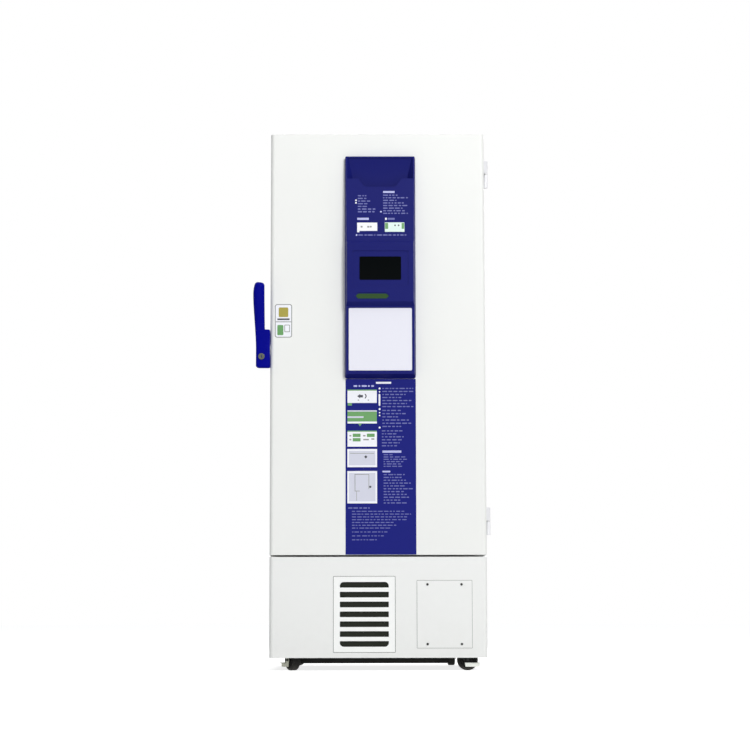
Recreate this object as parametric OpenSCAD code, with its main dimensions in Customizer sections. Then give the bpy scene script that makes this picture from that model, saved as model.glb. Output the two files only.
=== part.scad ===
// Upright ultra low temperature freezer: a foamed cabinet over a refrigeration deck, on casters.
// Working frame: x = 0 at the middle of the cabinet, y = 0 at the face that the door seals on,
// with +y to the back, and z = 0 on the floor. place() moves the footprint's middle to the origin.

/* [Cabinet] */
// Width of the cabinet and of its door
cab_w = 780; // [770:1:840]
// Height of the cabinet's top over the floor
cab_h = 1950; // [1900:1:2040]
// Depth of the cabinet behind the face that the door seals on
cab_d = 855; // [800:1:920]
// Height of the panels' lower edge over the floor
skirt_z = 46; // [43:1:52]
// Height of the machine compartment's top over the floor
deck_top = 405; // [400:1:430]
// Thickness of the painted steel sheet
skin_t = 1.2; // [0.8:0.1:1.6]
// Width of the steel face that the door seals on
face_w = 60; // [52:1:70]
// How far the buffers at the back stand out
spacer_d = 14; // [10:1:25]

/* [Chamber] */
// Thickness of a foamed side wall
side_wall = 170; // [150:1:190]
// Thickness of the foamed wall over the chamber
top_wall = 139; // [120:1:170]
// Thickness of the foamed wall behind the chamber
back_wall = 110; // [100:1:160]
// Thickness of the foamed floor under the chamber
floor_wall = 140; // [120:1:145]
// Depth of the recess that the inner doors close
recess_d = 50; // [48:1:60]
// How far the recess reaches past the chamber on each side
recess_margin = 30; // [28:1:40]
// Thickness of the liner sheet
liner_t = 1.5; // [1:0.1:2]
// Number of shelves
shelf_count = 3; // [2:1:4]
// Depth of a shelf's folded edge
shelf_lip = 20; // [14:1:30]
// Radius of the port through the back wall
port_r = 12.5; // [8:0.5:20]
// Wall of the port's sleeve
port_wall = 4; // [3:0.5:6]

/* [Outer door] */
// Thickness of the door
door_t = 105; // [98:1:125]
// Gap that the door's seal fills
seal_gap = 12; // [10:0.5:16]
// Gap between the door and the panel below it
door_gap = 7; // [4:0.5:10]
// Radius of the door's and panel's upright front edges
edge_r = 14; // [6:1:20]
// Depth of the door's inner plastic pan
pan_d = 8; // [6:0.5:12]
// How far the pan's plug reaches into the seal gap
plug_d = 10; // [6:0.5:11]
// How far the hinge pins stand out from the door's side
hinge_out = 12; // [11:0.5:14]
// Radius of the hinge barrel
barrel_r = 8; // [7:0.5:9]
// Radius of the hinge pin
hinge_pin_r = 4; // [3:0.5:5]
// Height of one hinge
hinge_h = 100; // [80:1:120]
// Distance of the upper hinge's middle from the cabinet's top
hinge_drop = 128; // [90:1:250]
// Height of the lower hinge's middle over the floor
hinge_low_z = 537; // [500:1:700]

/* [Inner doors] */
// Thickness of an inner door
inner_t = 38; // [30:1:40]
// Gap between an inner door and the recess
inner_gap = 5; // [4:0.5:7]
// How far an inner door's front lies behind the sealing face
inner_set = 4; // [4:0.5:6]

/* [Front fascia] */
// Width of the fascia at the door
fascia_w = 258; // [230:1:300]
// Sideways place of the fascia's middle
fascia_x = 9; // [-20:1:30]
// Distance of the fascia's top from the cabinet's top
fascia_drop = 85; // [60:1:100]
// Height of the fascia
fascia_h = 818; // [810:1:850]
// How far the display section stands out
fascia_d = 55; // [50:1:65]
// How far the note plate's section stands out
note_d = 36; // [30:1:42]
// Height of the section that holds the note plate
note_section_h = 261; // [256:1:266]
// Height of the display section
display_h = 238; // [228:1:250]
// Distance of the document pocket's lip from the fascia's top
lip_drop = 86; // [70:1:100]
// Width of the document pocket's mouth
pocket_w = 240; // [200:1:240]
// Wall of the moulding
mould_t = 3; // [2.5:0.1:4]
// Width of the screen
screen_w = 150; // [120:1:180]
// Height of the screen
screen_h = 85; // [60:1:100]
// Width of the instruction sheet
sheet_w = 254; // [220:1:280]
// Width of the note plate
note_w = 228; // [200:1:236]

/* [Handle] */
// Width of the grip
grip_w = 41; // [34:1:46]
// Gap between the grip and the door's side
grip_gap = 20; // [16:1:26]
// Width of the handle's block
block_w = 51; // [48:0.5:56]
// Height of the block's lower edge over the floor
block_z0 = 1084; // [1060:1:1100]
// Height of the block
block_h = 142; // [132:1:156]
// Height of the grip over the block
grip_h = 173; // [150:1:200]
// How far the grip leans to the front
grip_lean = 38; // [20:1:42]
// Radius of the handle's pivot
pivot_r = 8; // [6:0.5:10]
// Radius of the lock barrel
lock_r = 10; // [8:0.5:11]
// Radius of the plate that carries the handle
bracket_r = 42; // [34:1:46]

/* [Machine compartment] */
// Width of the intake grille
grille_w = 220; // [190:1:240]
// Height of the intake grille
grille_h = 269; // [262:1:280]
// Sideways place of the grille's middle
grille_x = -50; // [-60:1:-30]
// Number of slots in the grille
slot_count = 7; // [4:1:8]
// Length of a slot
slot_w = 175; // [140:1:180]
// Height of a slot
slot_h = 20; // [12:1:22]
// Width of the service cover
cover_w = 196; // [170:1:204]
// Height of the service cover
cover_h = 239; // [220:1:250]
// Sideways place of the service cover's middle
cover_x = 237; // [232:1:242]
// Radius of the fan's blades
fan_r = 108; // [90:1:110]
// Number of the fan's blades
blade_count = 5; // [3:1:7]
// Radius of a compressor's shell
comp_r = 86; // [70:1:90]
// Number of the condenser's fins
fin_count = 22; // [10:1:30]

/* [Casters] */
// Diameter of a wheel
wheel_d = 75; // [70:1:78]
// Width of a wheel
wheel_w = 29; // [24:1:32]
// Height of a caster
caster_h = 104; // [102:1:112]
// Trail of a caster
trail = 24; // [20:1:26]
// Distance of the caster's axis from the cabinet's middle
caster_x = 297; // [294:1:300]
// Radius of the wheel axle
axle_r = 4; // [3:0.5:5]

/* [Hidden] */
$fn = 48;
eps = 0.01;
white = [0.92, 0.925, 0.91];
dark_blue = [0.13, 0.15, 0.43];
bright_blue = [0.05, 0.07, 0.55];

// Clearances
seat = 0.3;
run = 0.05;

// Places that follow from the driving sizes
side_x = cab_w / 2;
in_x = side_x - skin_t;
door_back = -seal_gap;
door_front = door_back - door_t;
door_z0 = deck_top + door_gap;
fascia_y = door_front - fascia_d;
back_y = cab_d + spacer_d;
grip_out = grip_gap + grip_w;
hinge_x = side_x + hinge_out;
hinge_y = door_back / 2;
hinge_reach = hinge_out + barrel_r;
chamber_w = cab_w - 2 * side_wall;
chamber_z0 = deck_top + floor_wall;
chamber_z1 = cab_h - top_wall;
chamber_h = chamber_z1 - chamber_z0;
recess_w = chamber_w + 2 * recess_margin;
recess_z0 = chamber_z0 - recess_margin;
recess_z1 = chamber_z1 + recess_margin;
chamber_y1 = cab_d - back_wall;
chamber_d = chamber_y1 - recess_d;
fascia_z1 = cab_h - fascia_drop;
fascia_z0 = fascia_z1 - fascia_h;
display_z0 = fascia_z0 + note_section_h;
display_z1 = display_z0 + display_h;
lip_z = fascia_z1 - lip_drop;
shift = [(grip_out - hinge_reach) / 2, -(fascia_y + back_y) / 2, 0];

module place() translate(shift) children();

// A box between two corners
module block(a, b) translate(a) cube(b - a);

// Stands an outline of x and z up, from y0 back over the depth d
module upright(y0, d) translate([0, y0 + d, 0]) rotate([90, 0, 0]) linear_extrude(d) children();

// Turns an outline of y and z to face along x, from x0 over the width w
module sideways(x0, w) translate([x0, 0, 0]) rotate([90, 0, 90]) linear_extrude(w) children();

module both_sides() {
    children();
    mirror([1, 0, 0]) children();
}

function arc(c, r, a0, a1, n = 6) =
    [for (i = [0:n]) c + r * [cos(a0 + (a1 - a0) * i / n), sin(a0 + (a1 - a0) * i / n)]];

// Outline of a rectangle with round corners, centred on the origin
function round_rect(w, h, r, n = 6) = concat(
    arc([w / 2 - r, h / 2 - r], r, 0, 90, n), arc([r - w / 2, h / 2 - r], r, 90, 180, n),
    arc([r - w / 2, r - h / 2], r, 180, 270, n), arc([w / 2 - r, r - h / 2], r, 270, 360, n));

// A plate with round corners that faces the front, its middle at x and z
module front_plate(x, z, w, h, y0, d, r) upright(y0, d) translate([x, z]) polygon(round_rect(w, h, r));

function ease(t) = t * t * (3 - 2 * t);

// Round bars along x and y
module x_rod(x0, x1, y, z, r) translate([x0, y, z]) rotate([0, 90, 0]) cylinder(r = r, h = x1 - x0);
module y_rod(x, y0, y1, z, r) translate([x, y1, z]) rotate([90, 0, 0]) cylinder(r = r, h = y1 - y0);
module z_rod(x, y, z0, z1, r) translate([x, y, z0]) cylinder(r = r, h = z1 - z0);

// Plan of a shell that is open at the back, with round front corners, drawn inset by t
module shell_plan(t, y_back) {
    r = max(edge_r - t, 1);
    x = side_x - t;
    polygon(concat([[x, y_back], [-x, y_back]], arc([r - x, door_front + t + r], r, 180, 270, 8),
        arc([x - r, door_front + t + r], r, 270, 360, 8)));
}

// Cabinet

module side_panels() color(white) place() both_sides() {
    block([in_x, 0, skirt_z], [side_x, cab_d - skin_t, cab_h]);
    block([side_x - face_w, 0, deck_top], [side_x, skin_t, cab_h]);
}

module end_panels() color(white) place() {
    block([-in_x, skin_t, cab_h - skin_t], [in_x, cab_d - skin_t, cab_h]);
    block([face_w - side_x, 0, cab_h - face_w], [side_x - face_w, skin_t, cab_h]);
    block([-in_x, skin_t, deck_top], [in_x, cab_d - skin_t, deck_top + skin_t]);
    block([face_w - side_x, 0, deck_top], [side_x - face_w, skin_t, deck_top + face_w]);
}

port_x = -140;
port_z = chamber_z1 - 170;
sleeve_r = port_r + port_wall;
sleeve_flange = 8;

module rear_panel() color(white) place() difference() {
    block([-side_x, cab_d - skin_t, deck_top], [side_x, cab_d, cab_h]);
    y_rod(port_x, cab_d - 2 * skin_t, cab_d + skin_t, port_z, sleeve_r + seat);
}

foam_y0 = 4;
seam = 0.1;

// Four slabs round an opening, from y0 to y1, with a fine seam between them
module foam_ring(w, z0, z1, y0, y1) {
    both_sides() block([w / 2, y0, deck_top + skin_t], [in_x, y1, cab_h - skin_t]);
    block([seam - w / 2, y0, z1], [w / 2 - seam, y1, cab_h - skin_t]);
    block([seam - w / 2, y0, deck_top + skin_t], [w / 2 - seam, y1, z0]);
}

module wall_foam() color("khaki") place() {
    t = liner_t;
    foam_ring(recess_w + 2 * t, recess_z0 - t, recess_z1 + t, foam_y0, recess_d + t - seam);
    foam_ring(chamber_w + 2 * t, chamber_z0 - t, chamber_z1 + t, recess_d + t, chamber_y1);
    difference() {
        block([-in_x, chamber_y1 + t + seam, deck_top + skin_t], [in_x, cab_d - skin_t, cab_h - skin_t]);
        y_rod(port_x, chamber_y1, cab_d, port_z, sleeve_r + seat);
    }
}

// Upright rectangle about the middle plane
module opening(w, z0, z1) translate([-w / 2, z0]) square([w, z1 - z0]);

module inner_liner() color("lightgrey") place() {
    t = liner_t;
    difference() {
        union() {
            upright(foam_y0, recess_d + t - foam_y0) opening(recess_w + 2 * t, recess_z0 - t, recess_z1 + t);
            upright(recess_d, chamber_d + t) opening(chamber_w + 2 * t, chamber_z0 - t, chamber_z1 + t);
        }
        upright(foam_y0 - 1, recess_d + 1 - foam_y0) opening(recess_w, recess_z0, recess_z1);
        upright(recess_d - 1, chamber_d + 1) opening(chamber_w, chamber_z0, chamber_z1);
        y_rod(port_x, chamber_y1 - 1, chamber_y1 + t + 1, port_z, sleeve_r + seat);
    }
}

module breaker_frame() color("white") place() difference() {
    upright(skin_t, foam_y0 - skin_t) opening(2 * in_x, deck_top + skin_t, cab_h - skin_t);
    upright(0, foam_y0 + 1) opening(recess_w, recess_z0, recess_z1);
}

// Chamber fittings

shelf_t = 1.5;
shelf_side_gap = 4;
shelf_set = 12;
strip_t = 2;
strip_w = 18;
clip_d = 14;
clip_t = 3;
shelf_pitch = chamber_h / (shelf_count + 1);
shelf_levels = [for (i = [1:shelf_count]) chamber_z0 + i * shelf_pitch];
strip_y = [recess_d + 60, chamber_y1 - 80];

module shelves() color("silver") place() for (z = shelf_levels) difference() {
    x = chamber_w / 2 - shelf_side_gap;
    block([-x, recess_d + shelf_set, z - shelf_lip], [x, chamber_y1 - shelf_set, z]);
    block([-x - 1, recess_d + shelf_set + shelf_t, z - shelf_lip - 1],
        [x + 1, chamber_y1 - shelf_set - shelf_t, z - shelf_t]);
}

module shelf_supports() color("silver") place() both_sides() for (y = strip_y) difference() {
    x = chamber_w / 2;
    union() {
        block([x - strip_t, y, chamber_z0 + 20], [x, y + strip_w, chamber_z1 - 20]);
        for (z = shelf_levels)
            block([x - clip_d, y, z - shelf_t - clip_t], [x - strip_t + eps, y + strip_w, z - shelf_t]);
    }
    for (z = [chamber_z0 + 60 : 60 : chamber_z1 - 40])
        block([x - strip_t - 1, y + strip_w / 2 - 3, z - 8], [x + 1, y + strip_w / 2 + 3, z + 8]);
}

module access_port_sleeve() color("white") place() difference() {
    union() {
        y_rod(port_x, chamber_y1 - clip_t, cab_d + clip_t, port_z, sleeve_r);
        y_rod(port_x, chamber_y1 - clip_t, chamber_y1, port_z, sleeve_r + sleeve_flange);
        y_rod(port_x, cab_d, cab_d + clip_t, port_z, sleeve_r + sleeve_flange);
    }
    y_rod(port_x, chamber_y1 - 10, cab_d + 10, port_z, port_r);
}

module rear_spacers() color("dimgray") place() both_sides() for (z = [deck_top + 60, cab_h - 120])
    translate([side_x - 70, cab_d, z]) rotate([-90, 0, 0]) intersection() {
        translate([0, -60, 0]) cube([40, 60, spacer_d]);
        translate([20, -30, 0]) cylinder(r1 = 36, r2 = 31, h = spacer_d);
    }

// Outer door hinges

leaf_t = 4;
leaf_gap = 14;
leaf_w = 40;
thrust_t = 2;
hinge_z = [hinge_low_z, cab_h - hinge_drop];

// Plan of a leaf whose plate lies on the side at the given side of the pin, -1 front or 1 back
module leaf_plan(dir) {
    translate([hinge_x, hinge_y]) circle(r = barrel_r);
    polygon([[side_x, hinge_y + dir * (leaf_gap + leaf_w)], [side_x, hinge_y + dir * leaf_gap],
        [hinge_x - barrel_r * 0.8, hinge_y + dir * barrel_r * 0.6], [hinge_x, hinge_y + dir * barrel_r],
        [hinge_x + barrel_r * 0.6, hinge_y + dir * barrel_r * 0.8],
        [side_x + leaf_t, hinge_y + dir * (leaf_gap + leaf_t * 2)],
        [side_x + leaf_t, hinge_y + dir * (leaf_gap + leaf_w)]]);
}

// A leaf between two heights, bored for the pin, with two countersunk screw holes
module hinge_leaf(dir, z0, z1) difference() {
    translate([0, 0, z0]) linear_extrude(z1 - z0) leaf_plan(dir);
    z_rod(hinge_x, hinge_y, z0 - 1, z1 + 1, hinge_pin_r + run);
    for (z = [z0 + 14, z1 - 14])
        translate([side_x + leaf_t, hinge_y + dir * (leaf_gap + leaf_w - 13), z]) rotate([0, 90, 0])
            cylinder(r1 = 2.5, r2 = 5.5, h = 3, center = true);
}

module hinge_frame_leaves() color("silver") place() for (z = hinge_z)
    hinge_leaf(1, z - hinge_h / 2, z - thrust_t / 2);

module hinge_door_leaves() color("silver") place() for (z = hinge_z)
    hinge_leaf(-1, z + thrust_t / 2 + seat, z + hinge_h / 2);

module hinge_pins() color("silver") place() for (z = hinge_z) {
    z_rod(hinge_x, hinge_y, z - hinge_h / 2, z + hinge_h / 2 - 4, hinge_pin_r);
    z_rod(hinge_x, hinge_y, z - thrust_t / 2, z + thrust_t / 2, barrel_r - 1);
}

// Outer door

door_h = cab_h - door_z0;
door_mid_z = door_z0 + door_h / 2;
skin_back = door_back - pan_d;

module door_skin() color(white) place() difference() {
    translate([0, 0, door_z0]) linear_extrude(door_h) shell_plan(0, skin_back);
    translate([0, 0, door_z0 + skin_t]) linear_extrude(door_h - 2 * skin_t) shell_plan(skin_t, skin_back + 1);
}

module door_foam() color("khaki") place() translate([0, 0, door_z0 + skin_t])
    linear_extrude(door_h - 2 * skin_t) shell_plan(skin_t, skin_back);

seal_w = 24;
seal_edge = 20;
plug_edge = seal_edge + seal_w + 12;

// Outline of the door, set in by e all round
module door_outline(e, r) translate([0, door_mid_z]) polygon(round_rect(cab_w - 2 * e, door_h - 2 * e, r));

module door_liner() color("white") place() {
    upright(skin_back, pan_d) door_outline(1, 6);
    upright(door_back - 1, plug_d + 1) difference() {
        door_outline(plug_edge, 16);
        for (z = [door_z0 + door_h * 0.3, door_z0 + door_h * 0.7])
            translate([0, z]) polygon(round_rect(cab_w - 2 * plug_edge - 120, 10, 4));
    }
}

module seal_ring(e, w, y0, d) upright(y0, d) difference() {
    door_outline(e, 14);
    door_outline(e + w, 8);
}

module door_gasket() color("gainsboro") place() {
    seal_ring(seal_edge, seal_w, door_back, 4);
    seal_ring(seal_edge + 4, seal_w - 8, door_back + 4 - eps, seal_gap - 4 - seat - 0.2);
}

// Fascia

fascia_taper = 9;
fascia_lip_d = 30;
fascia_top_d = 24;
fascia_crown = 3;
fascia_slope = 14;

// Profile of the fascia in depth and height, set in by t
module fascia_profile(t) polygon([
    [door_front + t, fascia_z0 + t], [door_front - note_d + t, fascia_z0 + fascia_slope + t],
    [door_front - note_d + t, display_z0 - t * 0.4],
    [door_front - fascia_d + t, display_z0 + fascia_slope - t * 0.4],
    [door_front - fascia_d + t, display_z1 - 8 - t], [door_front - fascia_d + 9 + t, display_z1 - t],
    [door_front - fascia_lip_d + t, lip_z], [door_front - fascia_top_d + t, fascia_z1 - fascia_crown - t],
    [door_front + t, fascia_z1 - t]]);

// Plan of the fascia, narrower at its front, set in by t
module fascia_plan(t) polygon([
    [-fascia_w / 2 + t, door_front + t], [fascia_w / 2 - t, door_front + t],
    [fascia_w / 2 - fascia_taper - t, fascia_y - 1], [fascia_taper - fascia_w / 2 + t, fascia_y - 1]]);

module fascia_body(t) intersection() {
    sideways(-fascia_w / 2, fascia_w) fascia_profile(t);
    translate([0, 0, fascia_z0]) linear_extrude(fascia_z1 - fascia_z0) fascia_plan(t);
    upright(fascia_y - 1, fascia_d + 2) translate([0, (fascia_z0 + fascia_z1) / 2])
        polygon(round_rect(fascia_w - 2 * t, fascia_z1 - fascia_z0 - 2 * t, max(11 - t, 1)));
}

pocket_back_w = 200;
pocket_back = door_front - mould_t;
pocket_flare_y = door_front - fascia_top_d;
pocket_z0 = display_z1 + 26;
pocket_rim = 5;
pocket_z1 = fascia_z1 - fascia_crown - pocket_rim;
// Height at which the pocket's back starts to lean, and how far its top comes forward
lean_z = lip_z + 10;
pocket_lean = 17;
scoop_top_w = 160;
scoop_w = 105;
scoop_h = 31;
bezel_w = 203;
bezel_h = 130;
bezel_z = display_z0 + 135;
bezel_d = 2.5;
screen_z = bezel_z + 1;
lens_w = 120;
lens_h = 18;
lens_x = -29;
lens_z = display_z0 + 34;
lens_recess = 4;
note_h = 227;
note_z = fascia_z0 + 140;
note_t = 2;
note_set = 1;
note_rim = 7;
note_dip = 0.4;

// Outline of a bar with pointed ends
module hex_bar(w, h) polygon([[-w / 2, 0], [-w / 2 + h / 2, -h / 2], [w / 2 - h / 2, -h / 2],
    [w / 2, 0], [w / 2 - h / 2, h / 2], [-w / 2 + h / 2, h / 2]]);

// Plan of the document pocket, its side walls slanted out to the front, grown by t
module pocket_plan(t) {
    b = pocket_back_w / 2 + t;
    w = pocket_w / 2 + t;
    polygon([[-b, pocket_back + t], [b, pocket_back + t], [w, pocket_flare_y + t], [w, fascia_y - 1],
        [-w, fascia_y - 1], [-w, pocket_flare_y + t]]);
}

// Space inside the document pocket, grown by t: its back leans to the front above the lip
module pocket_space(t) intersection() {
    translate([0, 0, pocket_z0 - t]) linear_extrude(pocket_z1 - pocket_z0 + 2 * t) pocket_plan(t);
    sideways(-fascia_w / 2, fascia_w) polygon([[fascia_y - 1, pocket_z0 - t - 1],
        [pocket_back + t, pocket_z0 - t - 1], [pocket_back + t, lean_z],
        [pocket_back + t - pocket_lean, pocket_z1 + t + 1], [fascia_y - 1, pocket_z1 + t + 1]]);
}

module pocket_opening() {
    intersection() {
        pocket_space(0);
        block([-fascia_w / 2, fascia_y - 1, lip_z], [fascia_w / 2, door_front, fascia_z1]);
    }
    // Scoop in the lip for a finger and thumb
    upright(fascia_y - 1, fascia_d - fascia_top_d + 12) polygon([
        [-scoop_top_w / 2, lip_z + 1], [-scoop_w / 2 - 6, lip_z - scoop_h + 4],
        [-scoop_w / 2, lip_z - scoop_h], [scoop_w / 2, lip_z - scoop_h],
        [scoop_w / 2 + 6, lip_z - scoop_h + 4], [scoop_top_w / 2, lip_z + 1]]);
}

module fascia_housing() color(dark_blue) place() translate([fascia_x, 0, 0]) difference() {
    union() {
        difference() {
            fascia_body(0);
            fascia_body(mould_t);
            // The moulding is open at the back
            block([mould_t * 2 - fascia_w / 2, door_front - mould_t, fascia_z0 + mould_t * 4],
                [fascia_w / 2 - mould_t * 2, door_front + 1, pocket_z0 - 2 * mould_t]);
        }
        intersection() {
            fascia_body(mould_t / 2);
            union() {
                // Tub of the document pocket
                difference() {
                    pocket_space(mould_t);
                    pocket_space(0);
                }
                // Backing of the bezel's recess and of the lens's recess
                front_plate(0, bezel_z, bezel_w + 6, bezel_h + 6, fascia_y, bezel_d + mould_t, 8);
                front_plate(lens_x, lens_z, lens_w + 14, lens_h + 8, fascia_y, bezel_d + mould_t, 3);
                front_plate(0, note_z, note_w + 8, note_h + 8, door_front - note_d, 1 + mould_t, 6);
            }
        }
    }
    pocket_opening();
    front_plate(0, bezel_z, bezel_w, bezel_h, fascia_y - 1, bezel_d + 1, 7);
    front_plate(0, screen_z, screen_w + 2 * seat, screen_h + 2 * seat, fascia_y - 1, fascia_d - mould_t,
        3 + seat);
    upright(fascia_y - 1, 1 + bezel_d) translate([lens_x, lens_z])
        hex_bar(lens_w + 2 * lens_recess, lens_h + 2 * lens_recess);
    upright(fascia_y - 1, bezel_d + mould_t + 2) translate([lens_x, lens_z])
        hex_bar(lens_w + 2 * seat, lens_h + 2 * seat);
    front_plate(0, note_z, note_w + 2 * seat, note_h + 2 * seat, door_front - note_d - 1, note_t, 4);
}

module display_screen() color([0.05, 0.06, 0.07]) place() translate([fascia_x, 0, 0]) {
    front_plate(0, screen_z, screen_w, screen_h, fascia_y + 1.5, bezel_d + mould_t - 1.5, 3);
    front_plate(0, screen_z, screen_w + 10, screen_h + 10, fascia_y + bezel_d + mould_t, 6, 5);
}

module status_lens() color([0.18, 0.3, 0.16]) place() translate([fascia_x, 0, 0]) {
    upright(fascia_y + 1.5, bezel_d + mould_t - 1.5) translate([lens_x, lens_z]) hex_bar(lens_w, lens_h);
    front_plate(lens_x, lens_z, lens_w + 8, lens_h + 6, fascia_y + bezel_d + mould_t, 4, 2);
}

module note_plate() color("white") place() translate([fascia_x, 0, 0]) difference() {
    front_plate(0, note_z, note_w, note_h, door_front - note_d - note_set, note_t, 4);
    front_plate(0, note_z, note_w - 2 * note_rim, note_h - 2 * note_rim,
        door_front - note_d - note_set - 1, 1 + note_dip, 2);
}

module instruction_sheet() color([0.17, 0.18, 0.5]) place()
    block([fascia_x + 1 - sheet_w / 2, door_front - 1, door_z0 + 1],
        [fascia_x + 1 + sheet_w / 2, door_front, fascia_z0 - 0.5]);

// Door handle

block_z1 = block_z0 + block_h;
grip_z1 = block_z1 + grip_h;
pivot_y = -70;
pivot_z = (block_z0 + block_z1) / 2;
bracket_t = 4;
block_x1 = -side_x - 2 * seat;
block_x0 = block_x1 - block_w;
grip_x0 = -side_x - grip_out;
grip_x1 = -side_x - grip_gap;
block_front = door_front - 11;
block_back = -40;
grip_t = 34;
lever_n = 12;
// Bulge of the grip's outer side, and the height of its widest place
bulge_r = 136;
bulge_a = 18;
grip_corner = 8;
wide_z = grip_z1 - grip_corner - (bulge_r - grip_corner) * sin(bulge_a);
swell_z = block_z1 - 76;

// Front outline of the lever: a block with a waisted grip above it
module lever_front() polygon(concat(
    [[block_x1, block_z0 + 3], [block_x1, block_z1 - 2], [block_x1 - 2, block_z1]],
    arc([grip_x1 + 5, block_z1 + 5], 5, 270, 180, 4),
    arc([grip_x1 - 9, grip_z1 - 9], 9, 0, 90, 5),
    arc([grip_x0 + bulge_r - (bulge_r - grip_corner) * cos(bulge_a), grip_z1 - grip_corner],
        grip_corner, 90, 180 - bulge_a, 5),
    arc([grip_x0 + bulge_r, wide_z], bulge_r, 180 - bulge_a * 0.75, 180 - bulge_a * 0.25, 2),
    [for (i = [lever_n:-1:0]) let (t = i / lever_n)
        [block_x0 + (grip_x0 - block_x0) * ease(t), swell_z + t * (wide_z - swell_z)]],
    arc([block_x0 + 12, block_z0 + 12], 12, 180, 270, 5)));

// Side outline of the lever: the grip sweeps to the front
module lever_side() {
    z_of = function(t) block_z1 - 40 + t * (grip_z1 - block_z1 + 26);
    polygon(concat(
        [[block_back, block_z0 + 10], [block_back, block_z1 - 24]],
        arc([block_back - 12, block_z1 - 24], 12, 0, 90, 4),
        [[block_front + grip_t + 8, block_z1 - 8]],
        [for (i = [3:lever_n]) let (t = i / lever_n)
            [block_front + grip_t - grip_lean * ease(t), z_of(t)]],
        arc([block_front + grip_t / 2 - grip_lean, grip_z1 - 15], grip_t / 2, 10, 170, 8),
        [for (i = [lever_n:-1:0]) let (t = i / lever_n) [block_front - grip_lean * ease(t), z_of(t)]],
        arc([block_front + 12, block_z0 + 12], 12, 180, 270, 5)));
}

lock_x = -side_x - 31;
lock_z = block_z0 + 44;
lock_d = 24;

module handle_lever() color(bright_blue) place() difference() {
    intersection() {
        sideways(grip_x0, grip_out) lever_side();
        upright(fascia_y, -block_back - fascia_y) lever_front();
    }
    x_rod(grip_x0, -side_x, pivot_y, pivot_z, pivot_r + run);
    x_rod(-side_x - bracket_t - seat, -side_x, pivot_y, pivot_z, bracket_r + 2 * seat);
    y_rod(lock_x, block_front - 1, block_front + lock_d, lock_z, lock_r + run);
}

module handle_bracket() color("silver") place() {
    x = -side_x - bracket_t;
    difference() {
        x_rod(x, -side_x, pivot_y, pivot_z, bracket_r);
        for (a = [45 : 90 : 315]) translate([x, pivot_y + 27 * cos(a), pivot_z + 27 * sin(a)])
            rotate([0, 90, 0]) cylinder(r1 = 5.5, r2 = 2.5, h = 3, center = true);
    }
    x_rod(block_x0 + 2, x + eps, pivot_y, pivot_z, pivot_r);
}

module lock_cylinder() color("silver") place() difference() {
    union() {
        y_rod(lock_x, block_front - 3, block_front + lock_d - 2, lock_z, lock_r);
        y_rod(lock_x, block_front - 4, block_front - seat, lock_z, lock_r + 1.5);
    }
    y_rod(lock_x, block_front - 5, block_front - 3, lock_z, lock_r - 3);
    block([lock_x - 1, block_front - 5, lock_z - 5], [lock_x + 1, block_front + 8, lock_z + 5]);
}

striker_y = 20;
striker_z = pivot_z + 5;
striker_r = 5;
hook_x = -side_x - 33;
hook_w = 6;

module latch_hook() color("silver") place() sideways(hook_x - hook_w / 2, hook_w) polygon([
    [block_back, striker_z + 6], [striker_y - 12, striker_z + striker_r + 8],
    [striker_y + 5, striker_z + striker_r + 8], [striker_y + 7, striker_z + striker_r + 0.5],
    [striker_y + 12, striker_z + striker_r + 0.5], [striker_y + 16, striker_z + striker_r + 8],
    [striker_y + 14, striker_z + striker_r + 24], [striker_y - 10, striker_z + striker_r + 28],
    [block_back, striker_z + 40]]);

module latch_striker() color("silver") place() {
    x = -side_x - bracket_t;
    difference() {
        sideways(x, bracket_t) translate([striker_y + 10, striker_z]) polygon(round_rect(40, 70, 6));
        for (z = [striker_z - 24, striker_z + 24])
            translate([x, striker_y + 16, z]) rotate([0, 90, 0])
                cylinder(r1 = 5, r2 = 2.5, h = 3, center = true);
    }
    x_rod(block_x0 + 4, x + eps, striker_y, striker_z, striker_r);
    x_rod(block_x0 + 1, block_x0 + 4, striker_y, striker_z, striker_r + 3);
}

// Inner doors

inner_x = recess_w / 2 - inner_gap;
pivot_in = 12;
inner_axis_x = recess_w / 2 - pivot_in;
inner_axis_y = 12;
inner_pin_r = 3;
inner_y1 = inner_set + inner_t;
pivot_block_t = 8;
recess_mid = (recess_z0 + recess_z1) / 2;
inner_levels = [
    [recess_z0 + pivot_block_t + seat, recess_mid - pivot_block_t / 2 - seat],
    [recess_mid + pivot_block_t / 2 + seat, recess_z1 - pivot_block_t - seat]];

module inner_door(level) {
    h = level[1] - level[0];
    z = (level[0] + level[1]) / 2;
    difference() {
        union() {
            front_plate(0, z, 2 * inner_x, h, inner_set, inner_t, 8);
            front_plate(40 - inner_x, z, 26, 70, inner_set - 2, 2 + eps, 6);
        }
        front_plate(0, z, 2 * inner_x - 90, h - 90, inner_set - 1, 4, 12);
        front_plate(40 - inner_x, z, 18, 44, inner_set - 4, 10, 5);
        z_rod(inner_axis_x, inner_axis_y, level[0] - 1, level[0] + 14, inner_pin_r + run);
        z_rod(inner_axis_x, inner_axis_y, level[1] - 14, level[1] + 1, inner_pin_r + run);
    }
}

inner_seal_x = chamber_w / 2 + 4;

module inner_gasket(level) difference() {
    z = (level[0] + level[1]) / 2;
    h = level[1] - level[0];
    front_plate(0, z, 2 * inner_seal_x + 24, h - 8, inner_y1, recess_d - inner_y1 - 0.5, 6);
    front_plate(0, z, 2 * inner_seal_x, h - 32, inner_y1 - 1, recess_d, 3);
}

module inner_door_upper() color("whitesmoke") place() inner_door(inner_levels[1]);
module inner_door_lower() color("whitesmoke") place() inner_door(inner_levels[0]);
module inner_gasket_upper() color("dimgray") place() inner_gasket(inner_levels[1]);
module inner_gasket_lower() color("dimgray") place() inner_gasket(inner_levels[0]);

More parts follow.
